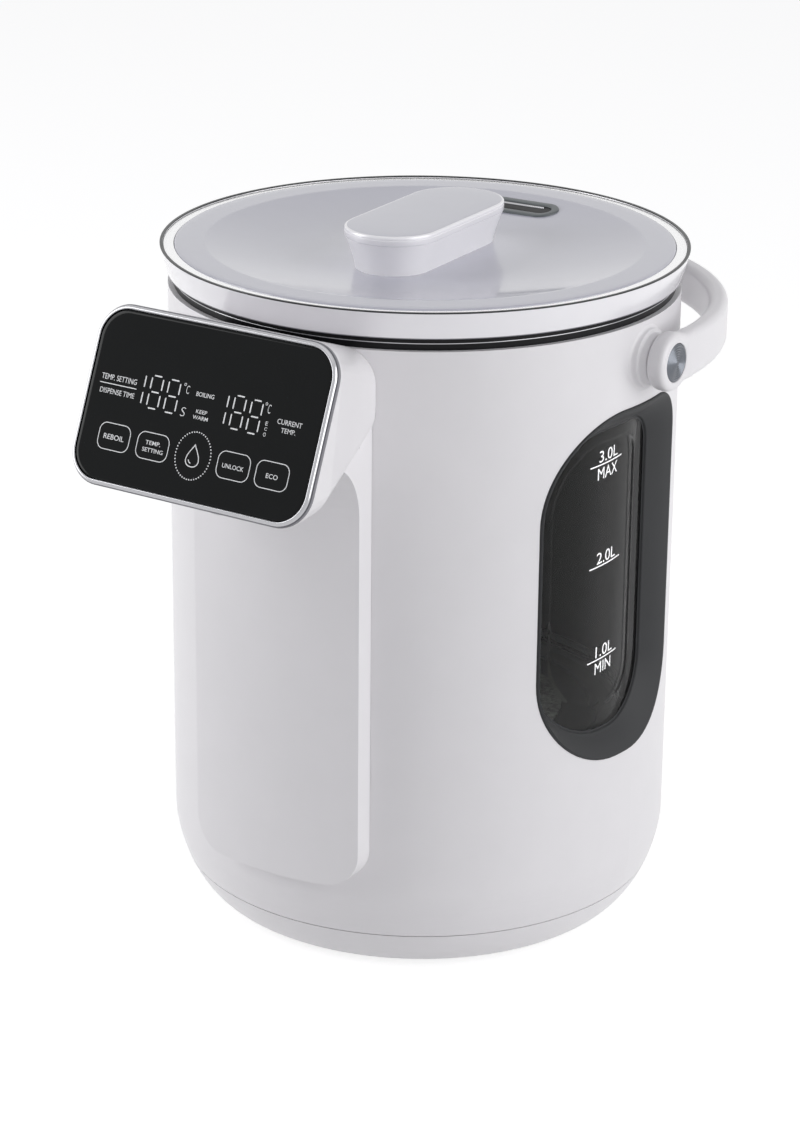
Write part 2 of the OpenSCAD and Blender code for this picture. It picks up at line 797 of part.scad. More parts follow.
module tank_floor() {
    seat_z = glass_z - tank_seal_t;
    color(steel) difference() {
        union() {
            rotate_extrude($fn = 180) polygon([
                [heater_r - 3, floor_plate_z], [floor_flange_r, floor_plate_z],
                [floor_flange_r, floor_z + cup_rise], [tank_out_r + 0.2, floor_z + cup_rise],
                [tank_out_r + 0.2, seat_z], [tank_in_r - 2, seat_z],
                [tank_in_r - 4, floor_z - 0.6], [heater_r + 17, floor_z - 0.6],
                [heater_r + 16.5, floor_z + 0.9], [heater_r + 12.5, floor_z + 0.9],
                [heater_r + 12, floor_z - 0.6], [heater_r + set_fit, floor_z - 0.6],
                [heater_r + set_fit, floor_z - heater_t], [heater_r - 3, floor_z - heater_t]]);
            translate([0, pump_y, floor_plate_z - 7]) cylinder(r = hose_r, h = 8, $fn = 48);
        }
        translate([0, pump_y, floor_plate_z - 8]) cylinder(r = hose_bore, h = 20, $fn = 48);
    }
}

module heater_plate() {
    color([0.6, 0.6, 0.6]) translate([0, 0, floor_z - heater_t])
        cylinder(r = heater_r, h = heater_t, $fn = 180);
}

module heating_element() {
    color([0.5, 0.5, 0.52]) {
        translate([0, 0, floor_z - heater_t - 3.6]) rotate([0, 0, -60])
            rotate_extrude(angle = 300, $fn = 120) translate([element_r, 0]) circle(3.5, $fn = 32);
        for (a = [-55, 235]) rotate([0, 0, a]) translate([element_r, 0, floor_z - heater_t - 15.6])
            cylinder(r = 2, h = 12, $fn = 32);
    }
}

module thermal_cutout() {
    color([0.85, 0.83, 0.78]) translate([20, 0, floor_z - heater_t - 9]) {
        cylinder(r = 8, h = 9, $fn = 48);
        for (s = [-1, 1]) translate([s * 5 - 1.5, -0.5, -6]) cube([3, 1, 7]);
    }
}

module temperature_probe() {
    color(steel) translate([-18, 0, floor_z - heater_t - 14]) {
        cylinder(r = 3, h = 14, $fn = 48);
        cylinder(r = 5, h = 3, $fn = 48);
    }
}

module outlet_filter() {
    color([0.7, 0.7, 0.72]) translate([0, pump_y, floor_z - 0.6]) difference() {
        cylinder(r = 5.6, h = 3, $fn = 48);
        translate([0, 0, -1]) cylinder(r = 4.6, h = 3.2, $fn = 48);
        for (a = [0:60:300]) rotate([0, 0, a]) translate([3, -0.4, -1]) cube([4, 0.8, 3]);
        for (a = [30:60:330]) rotate([0, 0, a]) translate([2.6, 0, 0]) cylinder(r = 0.5, h = 5, $fn = 16);
    }
}

module deck_plate() {
    color(dark) difference() {
        union() {
            ring(heater_r + 3, shell_in_r - set_fit, deck_z, floor_plate_z);
            at_deck_legs() translate([0, 0, inner_z])
                cylinder(r = deck_leg_r, h = deck_z - inner_z + 1, $fn = 48);
        }
        translate([0, pump_y, deck_z - 1]) cylinder(r = hose_r + 2 + seat_gap, h = deck_t + 2, $fn = 48);
        translate([-passage_w / 2, -body_r, deck_z - 1])
            cube([passage_w, body_r - liner_out_r - 0.5, deck_t + 2]);
    }
}

module tank_liner() {
    color([0.1, 0.1, 0.11]) difference() {
        ring(liner_r, liner_out_r, floor_plate_z, tank_top - 1);
        toward_window(0, body_r) window_opening(pane_ledge + 2);
    }
}

// ---- window ----

module window_frame() {
    color(dark) difference() {
        intersection() {
            difference() {
                cylinder(r = frame_out_r, h = big, $fn = 240);
                translate([0, 0, -1]) cylinder(r = frame_in_r, h = big, $fn = 240);
            }
            toward_window(0, body_r + 10) window_outline(-set_fit);
        }
        // sloping sides, from the pane out to the flat edge
        hull() {
            window_patch(pane_out_r) window_opening(0);
            window_patch(frame_out_r + 0.2) window_outline(-frame_edge);
        }
        toward_window(0, body_r) window_opening(0);
        intersection() {
            translate([0, 0, -1]) cylinder(r = pane_out_r + 0.1, h = big, $fn = 240);
            toward_window(0, body_r) window_opening(pane_ledge);
        }
    }
}

module window_pane() {
    color([0.6, 0.65, 0.68, 0.35]) intersection() {
        ring(pane_in_r, pane_out_r, window_bottom, window_top);
        toward_window(0, body_r) window_opening(pane_ledge - set_fit);
    }
}

module top_collar() {
    color([0.08, 0.08, 0.09]) rotate_extrude($fn = 180) polygon([
        [tank_in_r + 0.2, tank_top], [shell_in_r - set_fit, tank_top],
        [shell_in_r - set_fit, body_top], [collar_r, body_top],
        [collar_r, body_top + collar_lip], [tank_in_r + 0.2, body_top + collar_lip]]);
}

// ---- handle and pivots ----

module on_side(side) {
    rotate([0, 0, side > 0 ? 0 : 180]) translate([0, 0, pivot_z]) rotate([0, 90, 0]) children();
}

module pivot_boss(side) {
    color(white) difference() {
        union() {
            difference() {
                on_side(side) {
                    translate([0, 0, body_r - 6]) cylinder(r = boss_flange_r, h = 8.2, $fn = 96);
                    translate([0, 0, body_r]) cylinder(r = boss_neck_r, h = boss_end_x - body_r, $fn = 96);
                }
                cylinder(r = body_r + 0.05, h = big, $fn = 240);
            }
            on_side(side) translate([0, 0, body_r - 7])
                cylinder(r = boss_spigot_r, h = 10, $fn = 96);
        }
        on_side(side) translate([0, 0, body_r - 8]) cylinder(r = pivot_r + run_fit, h = 30, $fn = 96);
    }
}

module left_pivot_boss() { pivot_boss(-1); }
module right_pivot_boss() { pivot_boss(1); }

module pivot_screw(side) {
    color(steel) on_side(side) {
        translate([0, 0, body_r - 6.5])
            cylinder(r = pivot_r, h = counterbore_x + seat_gap - body_r + 6.5, $fn = 96);
        translate([0, 0, counterbore_x + seat_gap]) cylinder(r = screw_head_r, h = screw_head_t, $fn = 96);
    }
}

module left_pivot_screw() { pivot_screw(-1); }
module right_pivot_screw() { pivot_screw(1); }

module pivot_cap(side) {
    color([0.8, 0.81, 0.83]) on_side(side) translate([0, 0, cap_x])
        cylinder(r = cap_r, h = cap_t, $fn = 96);
}

module left_pivot_cap() { pivot_cap(-1); }
module right_pivot_cap() { pivot_cap(1); }

module carry_handle() {
    color(white) difference() {
        union() {
            intersection() {
                translate([0, 0, pivot_z - band_h / 2]) linear_extrude(band_h) difference() {
                    union() {
                        translate([0, arm_len]) circle(band_out_r, $fn = 240);
                        translate([-band_out_r, 0]) square([2 * band_out_r, arm_len]);
                    }
                    translate([0, arm_len]) circle(band_in_r, $fn = 240);
                    translate([-band_in_r, -1]) square([2 * band_in_r, arm_len + 1]);
                    translate([-big / 2, -big]) square([big, big]);
                }
                // side view of the band, a little lower at the back
                translate([-big / 2, 0, 0]) rotate([90, 0, 90]) linear_extrude(big) polygon([
                    [0, pivot_z - band_h / 2], [arm_len, pivot_z - band_h / 2],
                    [arm_len + band_out_r, pivot_z - band_h / 2 + 1],
                    [arm_len + band_out_r, pivot_z + band_h / 2 - 1],
                    [arm_len, pivot_z + band_h / 2], [0, pivot_z + band_h / 2]]);
            }
            for (side = [-1, 1]) on_side(side) translate([0, 0, eye_in_x])
                cylinder(r = eye_r, h = eye_out_x - eye_in_x, $fn = 96);
        }
        for (side = [-1, 1]) on_side(side) {
            translate([0, 0, eye_in_x - 1]) cylinder(r = pivot_r + run_fit, h = 20, $fn = 96);
            translate([0, 0, counterbore_x]) cylinder(r = cap_r + run_fit, h = 20, $fn = 96);
        }
    }
}

// ---- lid ----

module lid_outer_ring() {
    color([0.85, 0.87, 0.9, 0.6]) rotate_extrude($fn = 240) polygon([
        [ring_low_r - ring_t, lid_z], [ring_low_r, lid_z],
        [ring_top_r, lid_top - trim_t], [ring_top_r - ring_t, lid_top - trim_t]]);
}

module lid_trim_ring() {
    color(dark) ring(ring_top_r - ring_t, ring_top_r, lid_top - trim_t, lid_top);
}

function dish(r) = r > dish_r ? panel_top
    : r < dish_flat_r ? dish_z
    : dish_z + dish_depth * pow((r - dish_flat_r) / (dish_r - dish_flat_r), dish_power);

module lid_panel() {
    steps = 18;
    radii = [for (i = [0:steps]) dish_r * i / steps];
    color([0.78, 0.79, 0.83]) on_lid() difference() {
        rotate_extrude($fn = 240) polygon(concat(
            [for (r = radii) [r, dish(r)]],
            [[panel_r - 0.8, panel_top], [panel_r, panel_top - 0.8], [panel_r, lid_z + body_plate_t],
             [panel_r - 2, lid_z + body_plate_t], [panel_r - 2, panel_top - panel_t]],
            [for (i = [steps:-1:0]) [radii[i], dish(radii[i]) - panel_t]]));
        lid_arc(vent_r, vent_half, vent_w - 5, dish_z - 5, lid_top + 5);
        lid_arc(vent_r, vent_half, vent_w + 2 * set_fit, vent_seat_z, lid_top + 5);
        knob_holes(dish_z - 5, dish_z + 5);
    }
}

module knob_holes(z0, z1) {
    for (s = [-1, 1]) translate([0, s * knob_screw_y, z0])
        cylinder(r = screw_r + run_fit, h = z1 - z0, $fn = 48);
}

module lid_body() {
    color(white) on_lid() difference() {
        union() {
            ring(0, body_edge_r, lid_z, lid_z + body_plate_t);
            rotate_extrude($fn = 240) polygon([
                [body_edge_r - upstand_t, lid_z], [body_edge_r, lid_z], [rim_in_r, rim_z],
                [body_edge_r - upstand_t, rim_z]]);
            ring(plug_r - plug_wall, plug_r, plug_z, lid_z + 1);
            for (s = [-1, 1]) translate([0, s * knob_screw_y, lid_z])
                cylinder(r = 5, h = dish_z - panel_t - lid_z, $fn = 48);
        }
        lid_arc(vent_chamber_r, vent_half, 5, lid_z - 1, lid_z + 5);
        knob_holes(lid_z - 1, dish_z + 5);
    }
}

module lid_liner() {
    color(steel) on_lid() difference() {
        ring(0, plug_r, plug_z - liner_plate_t, plug_z);
        for (i = [-4:4]) rotate([0, 0, 90 + i * 5]) translate([vent_chamber_r, 0, plug_z - 5])
            cylinder(r = 1.4, h = 10, $fn = 32);
    }
}

module lid_seal() {
    color([0.9, 0.9, 0.9]) rotate_extrude($fn = 180) polygon([
        [plug_r + set_fit, plug_z + 2], [tank_in_r - seat_gap, plug_z + 3],
        [tank_in_r - seat_gap, plug_z + 3.8], [plug_r + 1, plug_z + 4.2],
        [plug_r + 1, plug_z + 6], [plug_r + set_fit, plug_z + 6]]);
}

module rim_gasket() {
    color([0.06, 0.06, 0.07]) ring(tank_in_r + 1, collar_r, gasket_z, lid_z);
}

module steam_vent() {
    top = dish(vent_r + vent_w / 2) + 0.2;
    low_top = dish(vent_r - vent_w / 2) + 0.2;
    color([0.3, 0.33, 0.35]) on_lid() difference() {
        union() {
            lid_arc(vent_r, vent_half, vent_w, vent_seat_z, top);
            lid_arc(vent_r, vent_half, vent_w - 5 - 2 * set_fit, dish_z - panel_t, top);
        }
        for (s = [-1, 1]) lid_arc(vent_r + s * (vent_slot_w + vent_rib) / 2, vent_half, vent_slot_w,
            dish_z - 6, top + 1);
        // the top slopes with the dish
        rotate_extrude($fn = 240) polygon([
            [vent_r - vent_w / 2 - 1, low_top], [vent_r + vent_w / 2 + 1, top],
            [vent_r + vent_w / 2 + 1, top + 2], [vent_r - vent_w / 2 - 1, top + 2]]);
    }
}

// ---- knob ----

module knob_slice(z, inset, t) {
    translate([0, 0, z]) linear_extrude(t) stadium(knob_len - 2 * inset, knob_r - inset, 32);
}

module knob_base() {
    h = knob_seam_z - dish_z;
    waist_z = dish_z + h * 0.5;
    waist = knob_taper * 0.62 + knob_step;
    color(white) on_lid() difference() {
        union() {
            hull() {
                knob_slice(dish_z, knob_taper + knob_step, 0.1);
                knob_slice(waist_z, waist, 0.1);
            }
            hull() {
                knob_slice(waist_z, waist, 0.1);
                knob_slice(knob_seam_z - 0.1, knob_step, 0.1);
            }
        }
        knob_holes(dish_z - 1, dish_z + h - 4);
    }
}

module knob_cap() {
    color([0.8, 0.81, 0.85]) on_lid() {
        knob_slice(knob_seam_z, 0, knob_cap_t - 0.8);
        hull() { knob_slice(knob_top - 0.8, 0, 0.1); knob_slice(knob_top - 0.1, 0.8, 0.1); }
    }
}

module knob_screws() {
    color(steel) on_lid() for (s = [-1, 1]) translate([0, s * knob_screw_y, 0]) {
        translate([0, 0, lid_z - 2.4]) cylinder(r = screw_r + 1.8, h = 2.4, $fn = 48);
        translate([0, 0, lid_z - 2.4]) cylinder(r = screw_r, h = knob_seam_z - 5 - lid_z + 2.4, $fn = 48);
    }
}

// ---- power ----

module power_inlet() {
    color([0.1, 0.1, 0.11]) difference() {
        union() {
            // flange that lies on the shell
            difference() {
                translate([0, inlet_face_y, inlet_z]) rotate([90, 0, 0]) linear_extrude(4)
                    rounded_rect(inlet_w, inlet_h, 3);
                cylinder(r = body_r + set_fit, h = big, $fn = 240);
            }
            translate([-inlet_body_w / 2, inlet_face_y - inlet_depth, inlet_z - inlet_body_h / 2])
                cube([inlet_body_w, inlet_depth - 1, inlet_body_h]);
        }
        translate([0, inlet_face_y + 1, inlet_z]) rotate([90, 0, 0])
            linear_extrude(inlet_depth - 4) rounded_rect(socket_w, socket_h, 3);
        pin_blades(run_fit);
    }
}

function pin_z(i) = inlet_z + (i == 0 ? pin_lift : -pin_lift);

module pin_blades(margin) {
    for (i = [-1:1])
        translate([i * pin_pitch - pin_t / 2 - margin, pin_back_y, pin_z(i) - pin_h / 2 - margin])
            cube([pin_t + 2 * margin, inlet_depth - 5, pin_h + 2 * margin]);
}

module inlet_pins() {
    color(steel) pin_blades(0);
}

module power_board() {
    color([0.1, 0.35, 0.2]) translate([-board_w / 2, board_y - board_d / 2, board_z])
        cube([board_w, board_d, board_t]);
}

module transformer() {
    color([0.75, 0.6, 0.2]) translate([-36, board_y - 18, board_face_z]) cube([24, 20, 18]);
}

module relay() {
    color([0.15, 0.3, 0.6]) translate([-4, board_y - 6, board_face_z]) cube([18, 14, 15]);
}

module capacitors() {
    color(dark) translate([28, board_y, board_face_z]) {
        translate([0, 8, 0]) cylinder(r = 6, h = 22, $fn = 48);
        translate([0, -8, 0]) cylinder(r = 4, h = 14, $fn = 48);
    }
}

module terminal_block() {
    color([0.85, 0.85, 0.83]) translate([-terminal_w / 2, terminal_y - 4.5, board_face_z])
        cube([terminal_w, 9, terminal_h]);
}

module inlet_wires() {
    bend = 8;
    top_z = board_face_z + terminal_h;
    color([0.5, 0.1, 0.1]) for (i = [-1:1]) translate([i * pin_pitch, 0, 0]) {
        translate([0, pin_back_y, pin_z(i)]) rotate([90, 0, 0])
            cylinder(r = wire_r, h = pin_back_y - terminal_y - bend, $fn = 24);
        hose_bend_at(terminal_y + bend, pin_z(i) - bend, bend, 90) circle(wire_r, $fn = 24);
        translate([0, terminal_y, top_z]) cylinder(r = wire_r, h = pin_z(i) - bend - top_z, $fn = 24);
    }
}

outer_shell();
base_cover();
rubber_feet();
base_screws();
front_housing();
head_under_cover();
under_cover_screws();
panel_bezel();
panel_glass();
display_module();
control_board();
touch_springs();
ribbon_cable();
spout_nozzle();
outlet_tube();
pump_housing();
pump_motor();
pump_rotor();
pump_bracket();
inlet_hose();
inner_tank();
tank_seal();
tank_floor();
heater_plate();
heating_element();
thermal_cutout();
temperature_probe();
outlet_filter();
deck_plate();
tank_liner();
window_frame();
window_pane();
top_collar();
left_pivot_boss();
right_pivot_boss();
left_pivot_screw();
right_pivot_screw();
left_pivot_cap();
right_pivot_cap();
carry_handle();
lid_outer_ring();
lid_trim_ring();
lid_panel();
lid_body();
lid_liner();
lid_seal();
rim_gasket();
steam_vent();
knob_base();
knob_cap();
knob_screws();
power_inlet();
inlet_pins();
power_board();
transformer();
relay();
capacitors();
terminal_block();
inlet_wires();
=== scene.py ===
import json
import math
import bpy
import bmesh
import numpy as np
from mathutils import Matrix, Vector

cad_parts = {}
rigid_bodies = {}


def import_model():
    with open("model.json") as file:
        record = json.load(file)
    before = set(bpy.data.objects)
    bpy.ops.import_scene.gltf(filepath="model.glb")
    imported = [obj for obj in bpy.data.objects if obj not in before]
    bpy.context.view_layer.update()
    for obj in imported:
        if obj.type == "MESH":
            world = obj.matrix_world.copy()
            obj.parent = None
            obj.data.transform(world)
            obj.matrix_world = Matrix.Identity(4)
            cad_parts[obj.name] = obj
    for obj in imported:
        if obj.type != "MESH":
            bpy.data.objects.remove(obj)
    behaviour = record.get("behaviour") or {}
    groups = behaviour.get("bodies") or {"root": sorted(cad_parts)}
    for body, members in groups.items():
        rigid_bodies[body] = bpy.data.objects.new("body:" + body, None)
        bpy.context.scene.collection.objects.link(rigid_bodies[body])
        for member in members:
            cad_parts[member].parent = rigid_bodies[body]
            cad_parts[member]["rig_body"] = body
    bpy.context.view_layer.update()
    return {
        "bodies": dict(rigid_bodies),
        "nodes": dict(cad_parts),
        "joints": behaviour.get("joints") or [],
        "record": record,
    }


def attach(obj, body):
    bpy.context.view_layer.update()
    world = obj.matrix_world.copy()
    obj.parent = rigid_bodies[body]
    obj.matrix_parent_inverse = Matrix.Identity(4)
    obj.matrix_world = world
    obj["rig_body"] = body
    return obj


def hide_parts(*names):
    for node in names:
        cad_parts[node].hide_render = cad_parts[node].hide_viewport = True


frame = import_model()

mm = 0.001
mergeGap = 2e-6  # in metres
nodes = frame["nodes"]
print("frame loaded:", len(nodes), "parts")


# ---------- camera, floor and light ----------

viewSet = {
    "azimuth": 33.3,  # degrees round from the front
    "elevation": 20.583,
    "roll": 0.5557,
    "distance": 1389.26,
    "middle": (0, 0, 151.5),
    "across": -9.06,  # camera moved to its own right and up
    "upwards": -8.35,
    "lens": 104.77, "sensor": 36,
    "near": 0.05,  # in metres
}


def towards(azimuth, elevation):
    # direction out from the pot = (sin a cos e, -cos a cos e, sin e)
    a, e = math.radians(azimuth), math.radians(elevation)
    return Vector((math.sin(a) * math.cos(e), -math.cos(a) * math.cos(e), math.sin(e)))


def addCamera(s):
    # right = flat cos roll + rise sin roll, up = rise cos roll - flat sin roll
    back = towards(s["azimuth"], s["elevation"])
    a, roll = math.radians(s["azimuth"]), math.radians(s["roll"])
    flat = Vector((math.cos(a), math.sin(a), 0))
    rise = back.cross(flat)
    right = flat * math.cos(roll) + rise * math.sin(roll)
    up = rise * math.cos(roll) - flat * math.sin(roll)
    place = Vector(s["middle"]) + back * s["distance"] + right * s["across"] + up * s["upwards"]
    data = bpy.data.cameras.new("camera")
    data.lens = s["lens"]
    data.sensor_width = s["sensor"]
    data.clip_start = s["near"]
    camera = bpy.data.objects.new("camera", data)
    turn = Matrix((right, up, back)).transposed().to_4x4()
    camera.matrix_world = Matrix.Translation(place * mm) @ turn
    bpy.context.scene.collection.objects.link(camera)
    bpy.context.scene.camera = camera


lightSet = {  # in degrees, metres and watts
    "left": dict(azimuth=-56, elevation=16, distance=2.2, width=1.2, height=2.0, watts=28.5),
    "right": dict(azimuth=94, elevation=16, distance=2.2, width=2.2, height=2.0, watts=34),
    "top": dict(azimuth=20, elevation=80, distance=2.1, width=1.6, height=1.6, watts=2),
    "aim": (0, 0, 0.15),
    "ambient": 0.30,
    "tint": (0.95, 0.95, 1.0),
}


def addLight(name, s, aim):
    # the lamp stands at aim + distance times its direction, and faces aim
    back = towards(s["azimuth"], s["elevation"])
    data = bpy.data.lights.new(name, "AREA")
    data.shape = "RECTANGLE"
    data.size, data.size_y = s["width"], s["height"]
    data.energy = s["watts"]
    lamp = bpy.data.objects.new(name, data)
    lamp.location = back * s["distance"] + Vector(aim)
    lamp.rotation_euler = back.to_track_quat("Z", "Y").to_euler()
    lamp.visible_camera = False
    bpy.context.scene.collection.objects.link(lamp)


def addNode(tree, kind, **values):
    # a shader node of the kind, each named input set to its value
    node = tree.nodes.new("ShaderNode" + kind)
    for name, value in values.items():
        node.inputs[name].default_value = value
    return node


def mixBy(tree, factor, off, on):
    # off times (1 - factor) + on times factor
    mix = addNode(tree, "MixShader")
    tree.links.new(factor, mix.inputs[0])
    tree.links.new(off.outputs[0], mix.inputs[1])
    tree.links.new(on.outputs[0], mix.inputs[2])
    return mix


def seenOrMirrored(tree):
    # 1 on camera, mirror and glass rays, 0 on rays that carry light
    path = addNode(tree, "LightPath")
    total = path.outputs["Is Camera Ray"]
    for name in ("Is Glossy Ray", "Is Transmission Ray"):
        add = addNode(tree, "Math")
        add.operation = "ADD"
        add.use_clamp = True
        tree.links.new(total, add.inputs[0])
        tree.links.new(path.outputs[name], add.inputs[1])
        total = add.outputs[0]
    return total


def addWorld(s):
    # tint times ambient on rays that carry light, white where the world is seen or mirrored
    world = bpy.data.worlds.new("studio")
    bpy.context.scene.world = world
    world.use_nodes = True
    tree = world.node_tree
    tree.nodes.clear()
    lit = addNode(tree, "Background", Color=(*s["tint"], 1), Strength=s["ambient"])
    seen = addNode(tree, "Background", Color=(1, 1, 1, 1), Strength=1)
    mix = mixBy(tree, seenOrMirrored(tree), lit, seen)
    tree.links.new(mix.outputs[0], addNode(tree, "OutputWorld").inputs[0])


floorSet = {"radius": 12.0, "segments": 96, "pale": 0.8, "shadowed": 0.42, "glow": 0.78}  # radius in metres


def addFloor(s):
    # flat disc (r cos t, r sin t, 0): pale for rays that carry light, a dimmer paper plus a glow where seen
    t = np.linspace(0, 2 * np.pi, s["segments"], endpoint=False)
    rim = np.stack([s["radius"] * np.cos(t), s["radius"] * np.sin(t), 0 * t], 1)
    mesh = bpy.data.meshes.new("floor")
    mesh.from_pydata(rim.tolist(), [], [list(range(len(t)))])
    floor = bpy.data.objects.new("floor", mesh)
    bpy.context.scene.collection.objects.link(floor)
    material = bpy.data.materials.new("floorPaper")
    material.use_nodes = True
    tree = material.node_tree
    tree.nodes.clear()
    pale = addNode(tree, "BsdfDiffuse", Color=(s["pale"],) * 3 + (1,))
    shade = addNode(tree, "BsdfDiffuse", Color=(s["shadowed"],) * 3 + (1,))
    glow = addNode(tree, "Emission", Strength=s["glow"])
    both = addNode(tree, "AddShader")
    tree.links.new(shade.outputs[0], both.inputs[0])
    tree.links.new(glow.outputs[0], both.inputs[1])
    mix = mixBy(tree, seenOrMirrored(tree), pale, both)
    tree.links.new(mix.outputs[0], addNode(tree, "OutputMaterial").inputs[0])
    mesh.materials.append(material)


addCamera(viewSet)
for lampName in ("left", "right", "top"):
    addLight(lampName, lightSet[lampName], lightSet["aim"])
addWorld(lightSet)
addFloor(floorSet)
bpy.context.scene.view_settings.view_transform = "Standard"
print("camera, lamps and floor made")


# ---------- finishes ----------

noiseSet = {"softDetail": 3, "fineDetail": 2, "ramp": (0.3, 0.7), "bumpDepth": 0.0002}  # depth in metres


def finish(name, colour, rough, spread=0.03, roughSpread=0.05, grain=900, bump=0.0, metal=0.0,
           coat=0.0, coatRough=0.05, ior=1.5, clear=0.0, mottle=60):
    # one soft noise gives colour times (1 +- spread) and rough +- roughSpread, a finer one gives the bump
    material = bpy.data.materials.new(name)
    material.use_nodes = True
    tree = material.node_tree
    shader = tree.nodes["Principled BSDF"]
    place = addNode(tree, "TexCoord")
    soft = addNode(tree, "TexNoise", Scale=mottle, Detail=noiseSet["softDetail"])
    tree.links.new(place.outputs["Object"], soft.inputs["Vector"])
    ramp = addNode(tree, "ValToRGB")
    low = [c * (1 - spread) for c in colour]
    high = [min(1, c * (1 + spread)) for c in colour]
    for stop, position, shade in zip(ramp.color_ramp.elements, noiseSet["ramp"], (low, high)):
        stop.position = position
        stop.color = (*shade, 1)
    tree.links.new(soft.outputs["Fac"], ramp.inputs["Fac"])
    tree.links.new(ramp.outputs["Color"], shader.inputs["Base Color"])
    limits = {"To Min": max(0, rough - roughSpread), "To Max": rough + roughSpread}
    level = addNode(tree, "MapRange", **limits)
    tree.links.new(soft.outputs["Fac"], level.inputs["Value"])
    tree.links.new(level.outputs["Result"], shader.inputs["Roughness"])
    if bump:
        fine = addNode(tree, "TexNoise", Scale=grain, Detail=noiseSet["fineDetail"])
        rise = addNode(tree, "Bump", Strength=bump, Distance=noiseSet["bumpDepth"])
        tree.links.new(place.outputs["Object"], fine.inputs["Vector"])
        tree.links.new(fine.outputs["Fac"], rise.inputs["Height"])
        tree.links.new(rise.outputs["Normal"], shader.inputs["Normal"])
    for socket, value in (("Metallic", metal), ("Coat Weight", coat), ("Coat Roughness", coatRough),
                          ("IOR", ior), ("Transmission Weight", clear)):
        shader.inputs[socket].default_value = value
    if clear:
        # lamps shine through, so that what is behind is lit
        path = addNode(tree, "LightPath")
        through = addNode(tree, "BsdfTransparent", Color=(*colour, 1))
        mix = mixBy(tree, path.outputs["Is Shadow Ray"], shader, through)
        tree.links.new(mix.outputs[0], tree.nodes["Material Output"].inputs["Surface"])
    return material


finishes = {  # the frame's slots first, then finishes for single pieces
    "white_plastic": finish("whiteShell", (0.81, 0.797, 0.815), 0.36, spread=0.008, bump=0.05, coat=0.12,
                            coatRough=0.22),
    "grey_plastic": finish("greyMoulding", (0.70, 0.70, 0.72), 0.34, spread=0.01, bump=0.05),
    # lavender grey of the lid panel and the knob's top plate: its own tone, made darker as painted shade on
    # these upward faces
    "lid_grey": finish("lidLavenderTopShade", (0.53, 0.53, 0.605), 0.2, spread=0.01, roughSpread=0.02, coat=0.5),
    "knob_silver": finish("knobPearl", (0.95, 0.94, 0.965), 0.25, spread=0.008, roughSpread=0.03, coat=0.4,
                          metal=0.12),
    "clear_ring": finish("ringSatin", (0.88, 0.87, 0.90), 0.24, spread=0.01, roughSpread=0.03, metal=0.15,
                         coat=0.8),
    "clear_glass": finish("clearGlass", (0.96, 0.97, 0.97), 0.01, spread=0.005, roughSpread=0.005, clear=1.0,
                          ior=1.06),
    "panel_black": finish("panelGloss", (0.0035, 0.0045, 0.005), 0.05, spread=0.1, roughSpread=0.01,
                          ior=1.24),
    "bezel_chrome": finish("brightRim", (0.46, 0.46, 0.48), 0.12, spread=0.01, roughSpread=0.03, metal=1.0),
    "dark_plastic": finish("mattGrey", (0.030, 0.031, 0.033), 0.55, spread=0.06, bump=0.2, grain=1400,
                           ior=1.35),
    "black_plastic": finish("mattBlack", (0.022, 0.022, 0.025), 0.5, spread=0.08, bump=0.2, grain=1400),
    "black_rubber": finish("blackRubber", (0.020, 0.020, 0.022), 0.55, spread=0.1, bump=0.2),
    "clear_silicone": finish("milkySilicone", (0.70, 0.72, 0.73), 0.35, spread=0.03),
    "steel": finish("plainSteel", (0.55, 0.55, 0.57), 0.28, spread=0.04, roughSpread=0.08, metal=1.0),
    "aluminium": finish("castAluminium", (0.56, 0.56, 0.58), 0.42, spread=0.06, metal=1.0, bump=0.2),
    "board_green": finish("boardGreen", (0.03, 0.20, 0.08), 0.4, spread=0.15, mottle=300),
    "cable_grey": finish("flatCable", (0.55, 0.55, 0.57), 0.45, spread=0.05, mottle=400),
    "light_insulator": finish("paleInsulator", (0.74, 0.71, 0.64), 0.5, spread=0.04),
    "coil_yellow": finish("coilTape", (0.60, 0.42, 0.08), 0.5, spread=0.1, mottle=200),
    "relay_blue": finish("relayCase", (0.05, 0.13, 0.42), 0.35, spread=0.05),
    "wire_red": finish("wireCover", (0.36, 0.03, 0.03), 0.45, spread=0.06),
    "paneGlass": finish("paneGlass", (0.93, 0.93, 0.93), 0.02, spread=0.005, roughSpread=0.005, clear=1.0,
                        ior=1.2),
    "capSteel": finish("capSteel", (0.15, 0.16, 0.18), 0.22, spread=0.02, roughSpread=0.03, metal=1.0),
    # near-black for the lid ring's top trim: painted dark refraction of the clear ring's rounded top edge
    "trimRefractionDark": finish("trimRefractionDark", (0.02, 0.022, 0.023), 0.3, spread=0.03, ior=1.35),
    "knobWhite": finish("knobWhite", (0.985, 0.975, 0.99), 0.3, spread=0.006, coat=0.3),
    "ventGrey": finish("ventGrey", (0.10, 0.115, 0.12), 0.35, spread=0.05, bump=0.05),
    "bandBlack": finish("bandBlack", (0.006, 0.006, 0.007), 0.35, spread=0.1, ior=1.25),
    "plateGrey": finish("plateGrey", (0.30, 0.30, 0.285), 0.5, spread=0.4, mottle=500),
    "floorSteel": finish("floorSteel", (0.22, 0.22, 0.22), 0.35, spread=0.1, metal=0.5),
    # near-white, mostly metallic finish for the lid body, whiter than the shell: painted light in its shaded
    # channel under the clear ring, standing in for light through the ring
    "rimPaintedLight": finish("rimPaintedLight", (0.97, 0.97, 0.975), 0.25, spread=0.008, metal=0.75, coat=0.5),
    # dark grey for thin dark lines: painted shadow of the gap round the panel rim, and the lid ring's lip
    "darkLineGrey": finish("darkLineGrey", (0.20, 0.20, 0.22), 0.4, spread=0.05),
    "panelPrint": finish("panelPrint", (0.88, 0.89, 0.90), 0.5, spread=0.04, mottle=900),
}
